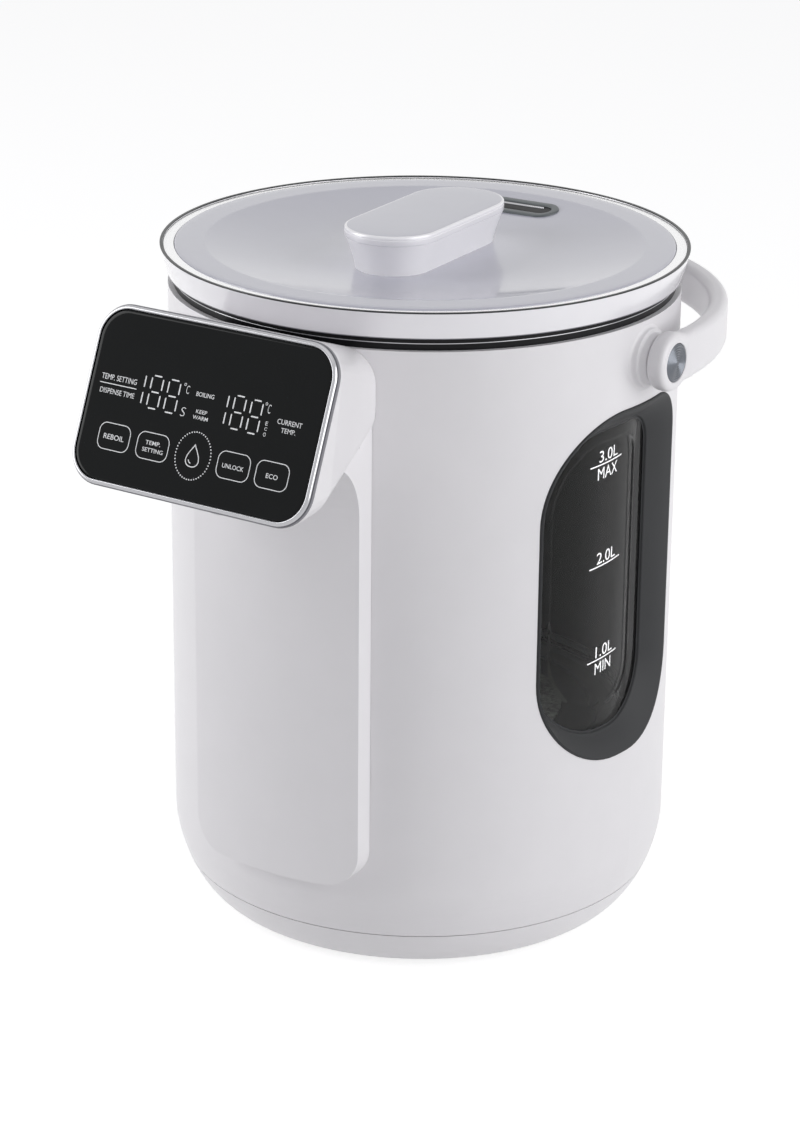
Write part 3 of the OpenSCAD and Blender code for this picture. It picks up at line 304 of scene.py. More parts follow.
# the lid body takes the painted-light white, so that its narrow shaded channel reads lit
ownFinish = {"top_collar": "bandBlack", "rim_gasket": "bandBlack", "lid_body": "rimPaintedLight",
             "heater_plate": "plateGrey", "tank_floor": "floorSteel"}
for node in nodes.values():
    for place in node.material_slots:
        place.material = finishes[place.material.name.split(".")[0]]
for nodeName, finishName in ownFinish.items():
    nodes[nodeName].material_slots[0].material = finishes[finishName]
print("finishes on", len(nodes), "parts")


# ---------- shared shapes ----------

def gridFaces(rows, columns, wrapRows=False):
    # quad (i, j), (i+1, j), (i+1, j+1), (i, j+1) for every cell of a grid of points whose columns close up
    i = np.arange(rows if wrapRows else rows - 1)[:, None]
    j = np.arange(columns)[None, :]
    a, b = (i + 1) % rows, (j + 1) % columns
    corners = np.broadcast_arrays(i * columns + j, a * columns + j, a * columns + b, i * columns + b)
    return np.stack(corners, -1).reshape(-1, 4)


def makePiece(name, parts, body, slotName, replaced=(), crease=35, material=None):
    # parts are (points in mm, faces) pairs: joined, doubles merged, every closed skin turned outwards
    points = np.concatenate([p for p, f in parts]) * mm
    starts = np.cumsum([0] + [len(p) for p, f in parts[:-1]])
    loops = np.concatenate([(f + s).ravel() for (p, f), s in zip(parts, starts)]).astype(np.int32)
    sizes = np.concatenate([np.full(len(f), f.shape[1]) for p, f in parts])
    mesh = bpy.data.meshes.new(name)
    mesh.vertices.add(len(points))
    mesh.vertices.foreach_set("co", points.astype(np.float32).ravel())
    mesh.loops.add(len(loops))
    mesh.loops.foreach_set("vertex_index", loops)
    mesh.polygons.add(len(sizes))
    mesh.polygons.foreach_set("loop_start", (np.cumsum(sizes) - sizes).astype(np.int32))
    mesh.update(calc_edges=True)
    mesh.validate()
    work = bmesh.new()
    work.from_mesh(mesh)
    bmesh.ops.remove_doubles(work, verts=work.verts, dist=mergeGap)
    bmesh.ops.recalc_face_normals(work, faces=work.faces)
    work.to_mesh(mesh)
    work.free()
    mesh.shade_smooth()
    mesh.set_sharp_from_angle(angle=math.radians(crease))
    piece = bpy.data.objects.new(name, mesh)
    bpy.context.scene.collection.objects.link(piece)
    mesh.materials.append(material or finishes[slotName])
    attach(piece, body)
    if replaced:
        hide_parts(*replaced)


def loft(rings, wrapRows=False):
    # skin over closed rings of points; without wrapRows each end closes on its middle
    if not wrapRows:
        ends = [np.broadcast_to(ring.mean(0), ring.shape) for ring in (rings[0], rings[-1])]
        rings = np.concatenate([ends[0][None], rings, ends[1][None]])
    return rings.reshape(-1, 3), gridFaces(len(rings), rings.shape[1], wrapRows)


def roundCorners(corners, cuts, steps=7):
    # each corner becomes (1-t)^2 start + 2t(1-t) corner + t^2 end, start and end a cut away from it
    c = np.asarray(corners, float)
    cut = np.broadcast_to(np.asarray(cuts, float), len(c))[:, None]
    before, after = np.roll(c, 1, 0) - c, np.roll(c, -1, 0) - c
    start = c + before / np.linalg.norm(before, axis=1, keepdims=True) * cut
    end = c + after / np.linalg.norm(after, axis=1, keepdims=True) * cut
    t = np.linspace(0, 1, steps)[None, :, None]
    curve = (1 - t) ** 2 * start[:, None] + 2 * t * (1 - t) * c[:, None] + t ** 2 * end[:, None]
    return curve.reshape(-1, 2)


def rectangle(inner, outer, low, high):
    # the inner low, outer low, outer high and inner high corner
    return [(inner, low), (outer, low), (outer, high), (inner, high)]


def revolve(profile, closed=True, segments=240):
    # every (r, z) of a profile turned about the axis: (r cos t, r sin t, z)
    t = np.linspace(0, 2 * np.pi, segments, endpoint=False)
    r, z = np.asarray(profile, float)[:, :1], np.asarray(profile, float)[:, 1:]
    return loft(np.stack([r * np.cos(t), r * np.sin(t), z + 0 * t], -1), closed)


def cornerLoop(centres, radii, arcSteps, sideSteps):
    # quarter arcs from the lower left corner round, with points along the sides between them
    centres, radii = np.asarray(centres, float), np.asarray(radii, float)
    turn = np.pi + np.arange(4)[:, None] * np.pi / 2 + np.linspace(0, np.pi / 2, arcSteps)
    arcs = centres[:, None] + radii[:, None, None] * np.stack([np.cos(turn), np.sin(turn)], -1)
    t = np.linspace(0, 1, sideSteps + 2)[1:-1][None, :, None]
    sides = (1 - t) * arcs[:, -1:] + t * np.roll(arcs, -1, 0)[:, :1]
    return np.concatenate([arcs, sides], 1).reshape(-1, 2)


def roundedRect(w, h, r, arcSteps=14, sideSteps=2):
    # corner middles at (+-(w/2 - r), +-(h/2 - r))
    x, y = w / 2 - r, h / 2 - r
    return cornerLoop([(-x, -y), (x, -y), (x, y), (-x, y)], [r] * 4, arcSteps, sideSteps)


def stadium(length, r, steps=40):
    # two half circles of radius r joined by straight sides along y
    t = np.linspace(0, np.pi, steps)
    ends = [np.stack([r * np.cos(t + turn), r * np.sin(t + turn) + sign * (length / 2 - r)], 1)
            for turn, sign in ((0, 1), (np.pi, -1))]
    return np.concatenate(ends)


def raised(outline, z):
    # (x, y) points become (x, y, z)
    return np.pad(outline, [(0, 0)] * (outline.ndim - 1) + [(0, 1)], constant_values=z)


def moved(profile, across, up):
    # every (o, h) of a profile becomes (across + o, up + h)
    return [(across + o, up + h) for o, h in profile]


def turned(part, degrees):
    # turned about the axis: (x cos a - y sin a, x sin a + y cos a, z)
    points, faces = part
    a = math.radians(degrees)
    x, y, z = points.T
    return np.stack([x * math.cos(a) - y * math.sin(a), x * math.sin(a) + y * math.cos(a), z], 1), faces


# ---------- control panel ----------

panelSet = {
    "middle": (0, -152.5, 250.3),
    "tilt": 22.8,
    "width": 111.8, "height": 70.5, "corner": 14,
    "back": -1.6, "shoulder": 0.25, "crest": 1.2, "face": 1.0,
    "rimWidth": 2.0, "ledge": 2.5, "ledgeDepth": 1.8,
    "rimTop": ((0.75, -0.35), (1.3, 0)),  # inwards, up from the crest
    "rimCuts": (0.1, 0.3, 0.25, 0.2, 0.25, 0.1, 0.1, 0.1),
    "seat": 0.45, "seatTop": -0.2, "seatEdge": ((0, -0.35), (0.12, -0.2)), "seatCut": 0.05, "seatSteps": 3,
    "glassGap": 0.15,
    "glassEdge": ((0, -1.8), (0, -0.9), (0.06, -0.6), (0.25, -0.33), (0.6, -0.13), (1.0, -0.03), (1.5, 0),
                  (2.0, 0), (8.0, 0)),  # inwards from the glass's side, up from the face
    "sunk": 0.01, "printHeight": 0.03,
    "shift": -1.2,  # where the print's own zero lies across the panel
}


def panelPlace(points, s=panelSet):
    # middle + x across + y (0, sin tilt, cos tilt) + z (0, -cos tilt, sin tilt)
    tilt = math.radians(s["tilt"])
    x, y, z = np.asarray(points, float).reshape(-1, 3).T
    return np.stack([s["middle"][0] + x,
                     s["middle"][1] + math.sin(tilt) * y - math.cos(tilt) * z,
                     s["middle"][2] + math.cos(tilt) * y + math.sin(tilt) * z], 1)


def panelRings(profile, s=panelSet):
    # rounded rectangles moved inwards by o at depth z, for profile points (o, z)
    rings = []
    for o, z in profile:
        outline = roundedRect(s["width"] - 2 * o, s["height"] - 2 * o, s["corner"] - o)
        rings.append(panelPlace(raised(outline, z)))
    return np.stack(rings)


def makePanel(s):
    # rim, dark strip (painted shadow of the gap round the rim's foot) and glass are each a profile of
    # (inwards, outwards) points carried round the panel
    seat, inner, back = s["seat"], s["rimWidth"], s["back"]
    ledge, floor = inner + s["ledge"], s["face"] - s["ledgeDepth"]
    rim = [(seat, back), (seat, s["shoulder"]), *moved(s["rimTop"], 0, s["crest"]), (inner, s["crest"]),
           (inner, floor), (ledge, floor), (ledge, back)]
    makePiece("panelRim", [loft(panelRings(roundCorners(rim, s["rimCuts"])), True)], "pot", "bezel_chrome",
              ["panel_bezel"])
    # the strip is dark grey: painted shadow in the gap between the rim and the housing
    strip = [(0, back), *s["seatEdge"], (seat, s["seatTop"]), (seat, back)]
    strip = roundCorners(strip, s["seatCut"], s["seatSteps"])
    makePiece("rimShadowStrip", [loft(panelRings(strip), True)], "pot", "bezel_chrome",
              material=finishes["darkLineGrey"])
    glass = moved(s["glassEdge"], inner + s["glassGap"], s["face"])
    makePiece("panelGlass", [loft(panelRings(glass))], "pot", "panel_black", ["panel_glass"])


def stackFlat(ring, s=panelSet):
    # (count, points, 2) outlines to thin closed plates: middle, ring, ring, middle
    low, high = -s["sunk"], s["printHeight"]
    middle = np.broadcast_to(ring.mean(1, keepdims=True), ring.shape)
    layers = np.stack([raised(middle, low), raised(ring, low), raised(ring, high), raised(middle, high)], 1)
    faces = gridFaces(layers.shape[1], ring.shape[1])
    offsets = np.arange(len(ring))[:, None, None] * layers.shape[1] * ring.shape[1]
    return layers.reshape(-1, 3), (faces[None] + offsets).reshape(-1, 4)


def flatBars(lines, width):
    # each line x0, y0, x1, y1 becomes a flat bar whose ends come to a point
    lines = np.asarray(lines, float)
    a, b = lines[:, :2], lines[:, 2:]
    along = (b - a) / np.linalg.norm(b - a, axis=1, keepdims=True) * width / 2
    side = np.stack([-along[:, 1], along[:, 0]], 1)
    ring = np.stack([a, a + along - side, b - along - side, b, b - along + side, a + along + side], 1)
    return stackFlat(ring)


def flatDots(centres, radius, sides=10):
    # a small disc of radius (cos t, sin t) round every centre
    t = np.linspace(0, 2 * np.pi, sides, endpoint=False)
    return stackFlat(np.asarray(centres, float)[:, None] + radius * np.stack([np.cos(t), np.sin(t)], -1))


def flatLine(path, width, closed=True, s=panelSet):
    # band of the width along a path: path +- width/2 along its side direction, low and high
    path = np.asarray(path, float)
    ahead = np.roll(path, -1, 0) - np.roll(path, 1, 0) if closed else np.gradient(path, axis=0)
    ahead /= np.linalg.norm(ahead, axis=1, keepdims=True)
    side = np.stack([-ahead[:, 1], ahead[:, 0]], 1) * width / 2
    low, high = -s["sunk"], s["printHeight"]
    ring = np.stack([raised(path + side, low), raised(path + side, high), raised(path - side, high),
                     raised(path - side, low)], 1)
    return loft(ring, closed)


def ellipse(middle, wide, tall, steps):
    # middle + (wide cos t, tall sin t)
    t = np.linspace(0, 2 * np.pi, steps, endpoint=False)
    return np.stack([middle[0] + wide * np.cos(t), middle[1] + tall * np.sin(t)], 1)


letterSet = {"extrude": 0.5, "curveSteps": 4}


def letters(words, box, slant=0.0, weight=0.0, s=panelSet):
    # Blender's own letters as a mesh, stretched to the box x0, y0, x1, y1 and leaned by slant times height
    curve = bpy.data.curves.new("letters", "FONT")
    curve.body = words
    curve.extrude = letterSet["extrude"]
    curve.offset = weight
    curve.resolution_u = letterSet["curveSteps"]
    draft = bpy.data.objects.new("letters", curve)
    bpy.context.scene.collection.objects.link(draft)
    bpy.context.view_layer.update()
    mesh = bpy.data.meshes.new_from_object(draft.evaluated_get(bpy.context.evaluated_depsgraph_get()))
    bpy.data.objects.remove(draft)
    points = np.empty(len(mesh.vertices) * 3)
    mesh.vertices.foreach_get("co", points)
    points = points.reshape(-1, 3)
    mesh.calc_loop_triangles()
    faces = np.empty(len(mesh.loop_triangles) * 3, np.int32)
    mesh.loop_triangles.foreach_get("vertices", faces)
    bpy.data.meshes.remove(mesh)
    low, high = points.min(0), points.max(0)
    unit = (points - low) / (high - low)
    x = box[0] + unit[:, 0] * (box[2] - box[0]) + slant * (unit[:, 1] - 0.5) * (box[3] - box[1])
    y = box[1] + unit[:, 1] * (box[3] - box[1])
    z = -s["sunk"] + unit[:, 2] * (s["printHeight"] + s["sunk"])
    return np.stack([x, y, z], 1), faces.reshape(-1, 3)


digitSet = {
    "stroke": 0.55,
    "left": {"one": -27.0, "tens": (-24.1, -18.8), "units": (-16.0, -10.65), "top": 10.36, "slope": -0.02},
    "right": {"one": 12.1, "tens": (14.9, 20.0), "units": (22.7, 27.8), "top": 9.55, "slope": -0.03},
    "rows": ((-0.79, -5.26), (-7.07, -11.56)),  # from the top bar down
    "bars": (0, -6.23, -12.46), "barIn": (0.8, 0.85),
    "oneRise": 0.1,
}


def makeDigits(s):
    # upright bars at level + row, cross bars at level + bar; level = top + slope (x - the tens' x)
    lines = []
    barStart, barEnd = s["barIn"]
    for d in (s["left"], s["right"]):
        level = d["top"] + s["oneRise"]
        lines += [(d["one"], level + high, d["one"], level + low) for high, low in s["rows"]]
        for start, end in (d["tens"], d["units"]):
            level = d["top"] + d["slope"] * (start - d["tens"][0])
            lines += [(x, level + high, x, level + low) for high, low in s["rows"] for x in (start, end)]
            lines += [(start + barStart, level + bar, end - barEnd, level + bar) for bar in s["bars"]]
    return flatBars(lines, s["stroke"])


wordSet = [  # words, box x0 y0 x1 y1, slant, weight
    ("TEMP. SETTING", (-47.5, 5.25, -30.8, 7.4), 0.0, 0.0),
    ("DISPENSE TIME", (-47.0, 0.0, -30.6, 2.0), 0.0, 0.0),
    ("BOILING", (-2.7, 6.2, 5.55, 7.9), 0.0, 0.004),
    ("KEEP", (-1.1, -0.1, 4.0, 1.3), 0.0, 0.004),
    ("WARM", (-2.1, -2.45, 4.9, -1.0), 0.0, 0.004),
    ("CURRENT", (35.6, 2.55, 46.7, 4.45), 0.0, 0.0),
    ("TEMP.", (38.0, -0.44, 44.5, 1.35), 0.0, 0.0),
    ("C", (-7.6, 6.2, -6.2, 9.3), 0.0, -0.01),
    ("C", (30.3, 5.47, 31.6, 8.79), 0.0, -0.01),
    ("S", (-7.9, -2.46, -5.9, 1.0), 0.1, -0.015),
    ("E", (30.65, 0.97, 31.7, 2.42), 0.0, 0.0),
    ("C", (30.65, -1.0, 31.8, 0.28), 0.0, 0.0),
    ("O", (30.6, -3.19, 31.85, -1.74), 0.0, 0.0),
    ("REBOIL", (-40.5, -17.0, -30.9, -15.0), 0.0, 0.004),
    ("TEMP.", (-20.7, -15.7, -13.7, -14.1), 0.0, 0.004),
    ("SETTING", (-21.6, -18.45, -11.9, -16.85), 0.0, 0.004),
    ("UNLOCK", (15.8, -17.8, 25.6, -16.1), 0.0, 0.004),
    ("ECO", (35.9, -18.0, 41.2, -16.2), 0.0, 0.004),
]
signSet = {"degree": (0.42, 0.5), "degreeMiddles": ((-8.47, 9.53), (29.32, 8.82)), "degreeLine": 0.2,
           "degreeSteps": 20, "divider": (-47.9, 3.8, -30.2, 3.8), "dividerWidth": 0.35}
keySet = {"width": 14.7, "height": 10.2, "corner": 3.2, "line": 0.32,
          "middles": [(-35.6, -15.9), (-17.15, -16.15), (20.8, -16.6), (38.5, -16.8)]}
dropSet = {"ring": (1.95, -16.1), "wide": 8.05, "tall": 9.1, "dots": 46, "dot": 0.29,
           "top": -11.75, "bottom": -20.3, "middle": 1.95, "half": 2.95, "line": 0.38, "power": 0.75,
           "steps": 72, "shine": (195, 255), "shineRadius": 1.75, "shineSteps": 12}


def makeDrop(s):
    # half width = half sin(u) (1 - cos(u))^power / peak, height from the top down along (1 - cos u) / 2
    u = np.linspace(0, 2 * np.pi, s["steps"], endpoint=False)
    x = np.sin(u) * (1 - np.cos(u)) ** s["power"]
    x = s["middle"] + s["half"] * x / np.abs(x).max()
    y = s["top"] + (s["bottom"] - s["top"]) * (1 - np.cos(u)) / 2
    shine, reach = np.linspace(*np.radians(s["shine"]), s["shineSteps"]), s["shineRadius"]
    low = s["bottom"] + s["half"]
    arc = np.stack([s["middle"] + reach * np.cos(shine), low + reach * np.sin(shine)], 1)
    return [flatLine(np.stack([x, y], 1), s["line"]), flatLine(arc, s["line"], False),
            flatDots(ellipse(s["ring"], s["wide"], s["tall"], s["dots"]), s["dot"])]


def makePrinted(name, parts, s=panelSet):
    # print on the glass: shifted along the panel and out to its face
    placed = [(panelPlace(points + (s["shift"], 0, s["face"])), faces) for points, faces in parts]
    makePiece(name, placed, "pot", "light_insulator", material=finishes["panelPrint"])


def makePrint():
    # figures with their degree signs, words with the divider, key outlines, and the drop's key
    signs = [flatLine(ellipse(middle, *signSet["degree"], signSet["degreeSteps"]), signSet["degreeLine"])
             for middle in signSet["degreeMiddles"]]
    makePrinted("displayDigits", [makeDigits(digitSet), *signs])
    words = [letters(*word) for word in wordSet]
    makePrinted("panelWords", words + [flatBars([signSet["divider"]], signSet["dividerWidth"])])
    key = roundedRect(keySet["width"], keySet["height"], keySet["corner"])
    makePrinted("keyOutlines", [flatLine(key + middle, keySet["line"]) for middle in keySet["middles"]])
    makePrinted("dropKey", makeDrop(dropSet))


makePanel(panelSet)
makePrint()
print("control panel made")


# ---------- lid and knob ----------

lidSet = {
    "low": 273.5, "top": 284.8, "lowRadius": 105.2, "topRadius": 108.1,
    "wall": 1.3, "trim": 0.5, "lip": 0.4,
    # cuts at the inner low, outer low, outer high and inner high corners
    "lipCuts": (0.1, 0.2, 0.02, 0.02), "wallCuts": (0.05, 0.12, 0.1, 0.1), "trimCuts": (0.05, 0.12, 0.2, 0.2),
    "thinSteps": 5,
}


def makeRing(s):
    # lip and wall share one slanted side: foot = low radius + (top radius - low radius) lip / height
    edge = s["top"] - s["trim"]
    lip = s["low"] + s["lip"]
    foot = s["lowRadius"] + (s["topRadius"] - s["lowRadius"]) * s["lip"] / (edge - s["low"])
    edging = roundCorners([(s["lowRadius"] - s["wall"], s["low"]), (s["lowRadius"], s["low"]), (foot, lip),
                           (foot - s["wall"], lip)], s["lipCuts"], s["thinSteps"])
    makePiece("ringLip", [revolve(edging)], "lid", "clear_ring", material=finishes["darkLineGrey"])
    inner = s["topRadius"] - s["wall"]
    wall = roundCorners([(foot - s["wall"], lip), (foot, lip), (s["topRadius"], edge), (inner, edge)],
                        s["wallCuts"])
    makePiece("lidRing", [revolve(wall)], "lid", "clear_ring", ["lid_outer_ring"])
    # the dark trim paints the dark refraction seen at the clear ring's rounded top edge
    trim = roundCorners(rectangle(inner, s["topRadius"], edge, s["top"]), s["trimCuts"], s["thinSteps"])
    makePiece("lidRefractionEdge", [revolve(trim)], "lid", "dark_plastic", ["lid_trim_ring"],
              material=finishes["trimRefractionDark"])


knobSet = {
    "length": 90.0, "width": 40.0, "turn": 3,
    "foot": 279.2, "seam": 292.3, "top": 296.7,
    "taper": 4.0, "step": 0.35, "flare": 1.35, "footRings": 22, "footCrease": 50,
    # profiles of (inwards, up) points from the seam, the cap's low edge, its groove and its top
    "footTop": ((0.55, 0.12), (1.2, 0.12)),
    "gap": 0.15, "groove": 2.4, "crown": 0.25,
    "capLow": ((1.1, 0), (0.3, 0), (0.1, 0.08), (0.0, 0.3)),
    "capGroove": ((0.0, -0.2), (0.14, -0.06), (0.14, 0.06), (0.0, 0.2)),
    "capTop": ((0.0, -0.8), (0.06, -0.5), (0.22, -0.24), (0.48, -0.07), (0.8, 0), (1.5, 0.01), (3.0, 0.01)),
    # a darker lavender plate over the cap's top paints the shade on that upward face
    "shadeEdge": ((1.0, -0.2), (1.0, -0.02), (1.1, 0.05)),
    "shadeStart": 1.2, "shadeReach": 11, "shadeRise": 0.06, "shadeRings": 9,
}


def knobLoft(profile, s):
    # stadiums moved inwards by o at height z, for profile points (o, z), turned with the knob
    rings = [raised(stadium(s["length"] - 2 * o, s["width"] / 2 - o), z) for o, z in profile]
    return turned(loft(np.stack(rings)), s["turn"])


def makeKnob(s):
    # foot: each side stands in by step + taper (1 - u^flare), u the height from 0 to 1
    u = np.linspace(0, 1, s["footRings"])
    inset = s["step"] + s["taper"] * (1 - u ** s["flare"])
    height = s["foot"] + u * (s["seam"] - s["foot"])
    foot = [*zip(inset, height), *moved(s["footTop"], 0, s["seam"])]
    makePiece("knobFoot", [knobLoft(foot, s)], "lid", "white_plastic", ["knob_base"], s["footCrease"],
              finishes["knobWhite"])
    top, low = s["top"] - s["crown"], s["seam"] + s["gap"]
    cap = [*moved(s["capLow"], 0, low), *moved(s["capGroove"], 0, low + s["groove"]),
           *moved(s["capTop"], 0, top)]
    makePiece("knobCap", [knobLoft(cap, s)], "lid", "knob_silver", ["knob_cap"])
    # thin crowned darker plate in the cap's top, painted shade on its upward face; its height a parabola from
    # the edge inwards
    t = np.linspace(0, 1, s["shadeRings"])
    rise = top + s["shadeRise"] + (s["crown"] - s["shadeRise"]) * (1 - (1 - t) ** 2)
    topShade = [*moved(s["shadeEdge"], 0, top), *zip(s["shadeStart"] + s["shadeReach"] * t, rise)]
    makePiece("knobTopShade", [knobLoft(topShade, s)], "lid", "lid_grey")


dishSet = {
    "middle": 1, "flat": 41.7, "edge": 90.0, "out": 102.3,
    "floor": 279.2, "depth": 5.4, "power": 1.7,
    "flatRings": 12, "slopeRings": 50,
    "land": (90.8, 94, 98), "rimIn": (0.9, 0.5, 0.2, 0.04), "rimDrop": (0, 0.07, 0.26, 0.6),
    "skirt": 2, "skirtTop": 282.0, "skirtLow": 276.0, "under": ((90, 282.3), (70, 279.2)), "pit": 277.0,
    "crease": 50,
}


def dishHeight(r, s=dishSet):
    # floor + depth ((r - flat) / (edge - flat))^power
    return s["floor"] + s["depth"] * ((r - s["flat"]) / (s["edge"] - s["flat"])).clip(0, 1) ** s["power"]


def makeDisc(s):
    # profile from the middle out over the dish and its rim, then back along the underside
    out, inner = s["out"], s["out"] - s["skirt"]
    r = np.concatenate([np.linspace(s["middle"], s["flat"], s["flatRings"]),
                        np.linspace(s["flat"], s["edge"], s["slopeRings"])[1:],
                        s["land"], out - np.array(s["rimIn"])])
    rise = dishHeight(r)
    rise[-len(s["rimDrop"]):] -= s["rimDrop"]
    under = [(out, s["skirtTop"]), (out, s["skirtLow"]), (inner, s["skirtLow"]), (inner, s["under"][0][1]),
             *s["under"], (s["flat"], s["pit"]), (s["middle"], s["pit"])]
    makePiece("lidDisc", [revolve([*zip(r, rise), *under], False)], "lid", "lid_grey", ["lid_panel"],
              s["crease"])


ventSet = {
    "radius": 76.0, "half": 10.5, "width": 14.5, "turn": 3, "steps": 30,
    "frame": 3.1, "rise": 0.75, "deep": 0.08, "sunk": -0.3, "foot": 0.1, "root": 0.8, "shadeFloorIn": 0.3,
    # profiles of (inwards, up from rise) points, at the frame's outer and inner side and at the bar's side
    "outer": ((0.08, -0.3), (0.25, -0.08), (0.5, 0)),
    "inner": ((-0.5, 0), (-0.2, -0.06), (-0.05, -0.2), (0, -0.4)),
    # the bar: a bright strip painting the highlight on the slot's far wall edge
    "bar": 1.0, "barShift": 2.4, "barShort": 2.5, "barSunk": -0.2,
    "barEdge": ((0, -0.35), (0.1, -0.2), (0.3, -0.15)),
}


def bentRings(profile, width, s, shift=0, shorten=0):
    # a stadium bent round the lid's axis: along becomes an angle, across a radius, height above the dish
    span = 2 * s["radius"] * math.radians(s["half"]) - shorten
    rings = []
    for o, h in profile:
        x, y = stadium(span + width - 2 * o, width / 2 - o, s["steps"]).T
        a, r = np.pi / 2 - y / s["radius"], s["radius"] + shift - x
        rings.append(np.stack([r * np.cos(a), r * np.sin(a), dishHeight(r) + h], 1))
    return np.stack(rings)


def makeVent(s):
    # raised frame round a near-black floor (painted shade of the slot) with one bright bar (painted highlight
    # of the slot's far edge), each a profile carried along the bent stadium
    f, rise, sunk = s["frame"], s["rise"], s["sunk"]
    frame = [(0, sunk), (0, s["foot"]), *moved(s["outer"], 0, rise), *moved(s["inner"], f, rise),
             (f, s["deep"] - s["foot"]), (f - s["root"], sunk)]
    makePiece("ventFrame", [turned(loft(bentRings(frame, s["width"], s), True), s["turn"])], "lid",
              "dark_plastic", ["steam_vent"], material=finishes["ventGrey"])
    # the floor sits just under the frame's top; its near-black paints the shade deep in the slot
    floor = [(f - s["shadeFloorIn"], sunk), (f - s["shadeFloorIn"], s["deep"])]
    makePiece("ventShadeFloor", [turned(loft(bentRings(floor, s["width"], s)), s["turn"])], "lid", "dark_plastic",
              material=finishes["bandBlack"])
    # the bright metal bar paints the highlight of the slot's far wall edge
    bar = [(0, s["barSunk"]), *moved(s["barEdge"], 0, rise)]
    bar = bentRings(bar, s["bar"], s, s["barShift"], s["barShort"])
    makePiece("ventHighlightBar", [turned(loft(bar), s["turn"])], "lid", "dark_plastic",
              material=finishes["bezel_chrome"])


# a bright ring painting the highlight on the collar's rounded glossy top edge
collarHighlightSet = {"inner": 101.75, "outer": 102.95, "low": 270.98, "high": 271.38,
             "cuts": (0.02, 0.12, 0.12, 0.02), "steps": 5}


def makeCollarHighlight(s):
    # thin bright ring on the collar's upper edge, painted highlight of its rounded glossy edge: a rounded
    # rectangle turned about the axis
    corners = rectangle(s["inner"], s["outer"], s["low"], s["high"])
    makePiece("collarHighlight", [revolve(roundCorners(corners, s["cuts"], s["steps"]))], "pot", "black_plastic",
              material=finishes["bezel_chrome"])


makeRing(lidSet)
makeDisc(dishSet)
makeVent(ventSet)
makeKnob(knobSet)
makeCollarHighlight(collarHighlightSet)
print("lid, vent, knob and collar line made")


# ---------- carrying handle ----------

handleSet = {
    "pivotHeight": 253.0,
    "inner": 110.6, "outer": 118.5, "height": 19.6, "arm": 12.0, "backDrop": 1.0, "edge": 3.1,
    "arcRings": 97, "armLap": 3.0, "armRings": 3, "cornerSteps": 12, "sideSteps": 4,
    "shy": 0.985,  # the end rings are drawn in, so that they lie inside the eyes' plates
}
eyeSet = {
    "lead": 3.6, "blend": 2.0,  # the plate runs lead into the arm, blended over blend
    "radius": 11.8, "in": 110.62, "out": 118.47, "shyHeight": 0.03, "least": 1e-3,
    "bore": 4.55, "pocket": 7.85, "pocketFloor": 114.2, "holeCuts": (0.2, 0.1, 0.1, 0.01), "holeSteps": 3,
    "pocketRim": ((0, -0.35), (0.1, -0.1), (0.35, 0)),  # outwards from the pocket, up from the outside
    "edgeShare": 0.93, "edgeSteps": 12, "sharp": 0.01, "steps": 180,
}


def pivotRing(x, r, t):
    # (x, r cos t, r sin t)
    return np.stack([0 * t + x, r * np.cos(t), r * np.sin(t)], 1)


def atPivot(part, side):
    # x times the side's sign, z raised to the pivot
    points, faces = part
    return points * (side, 1, 1) + (0, 0, handleSet["pivotHeight"]), faces


def makeBand(s):
    # rounded section carried along both arms and the half circle behind them, a little lower at the back
    w, h = s["outer"] - s["inner"], s["height"]
    section = roundedRect(w, h, s["edge"], s["cornerSteps"], s["sideSteps"])
    reach = (s["inner"] + s["outer"]) / 2
    t = np.linspace(0, np.pi, s["arcRings"])
    arm = np.linspace(s["arm"] - s["armLap"], s["arm"], s["armRings"])[:-1]
    x = np.concatenate([0 * arm + reach, reach * np.cos(t), 0 * arm - reach])
    y = np.concatenate([arm, s["arm"] + reach * np.sin(t), arm[::-1]])
    out = np.concatenate([np.stack([1 + 0 * arm, 0 * arm], 1), np.stack([np.cos(t), np.sin(t)], 1),
                          np.stack([-1 + 0 * arm, 0 * arm], 1)])
    squeeze = 1 - 2 * s["backDrop"] / h * (y - s["arm"]).clip(0) / s["outer"]
    shy = np.ones((len(y), 1))
    shy[[0, -1]] = s["shy"]
    rings = np.stack([x[:, None] + shy * out[:, :1] * section[:, 0], y[:, None] + out[:, 1:] * section[:, 0],
                      s["pivotHeight"] + squeeze[:, None] * shy * section[:, 1]], -1)
    return loft(rings)


def eyeOutline(t, o, s, band):
    # at each turn t the larger of the eye's circle and the arm's end, both moved inwards by o,
    # blended as larger + (blend - difference)^2 / (4 blend)
    half, ahead, k = band["height"] / 2 - s["shyHeight"], band["arm"] + s["lead"], s["blend"]
    ahead = (ahead - o) / np.cos(t).clip(s["least"])
    arm = np.minimum(ahead, (half - o) / np.abs(np.sin(t)).clip(s["least"]))
    arm = np.where(np.cos(t) > 0, arm, 0)
    return np.maximum(arm, s["radius"] - o) + (k - np.abs(arm - s["radius"] + o)).clip(0) ** 2 / (4 * k)


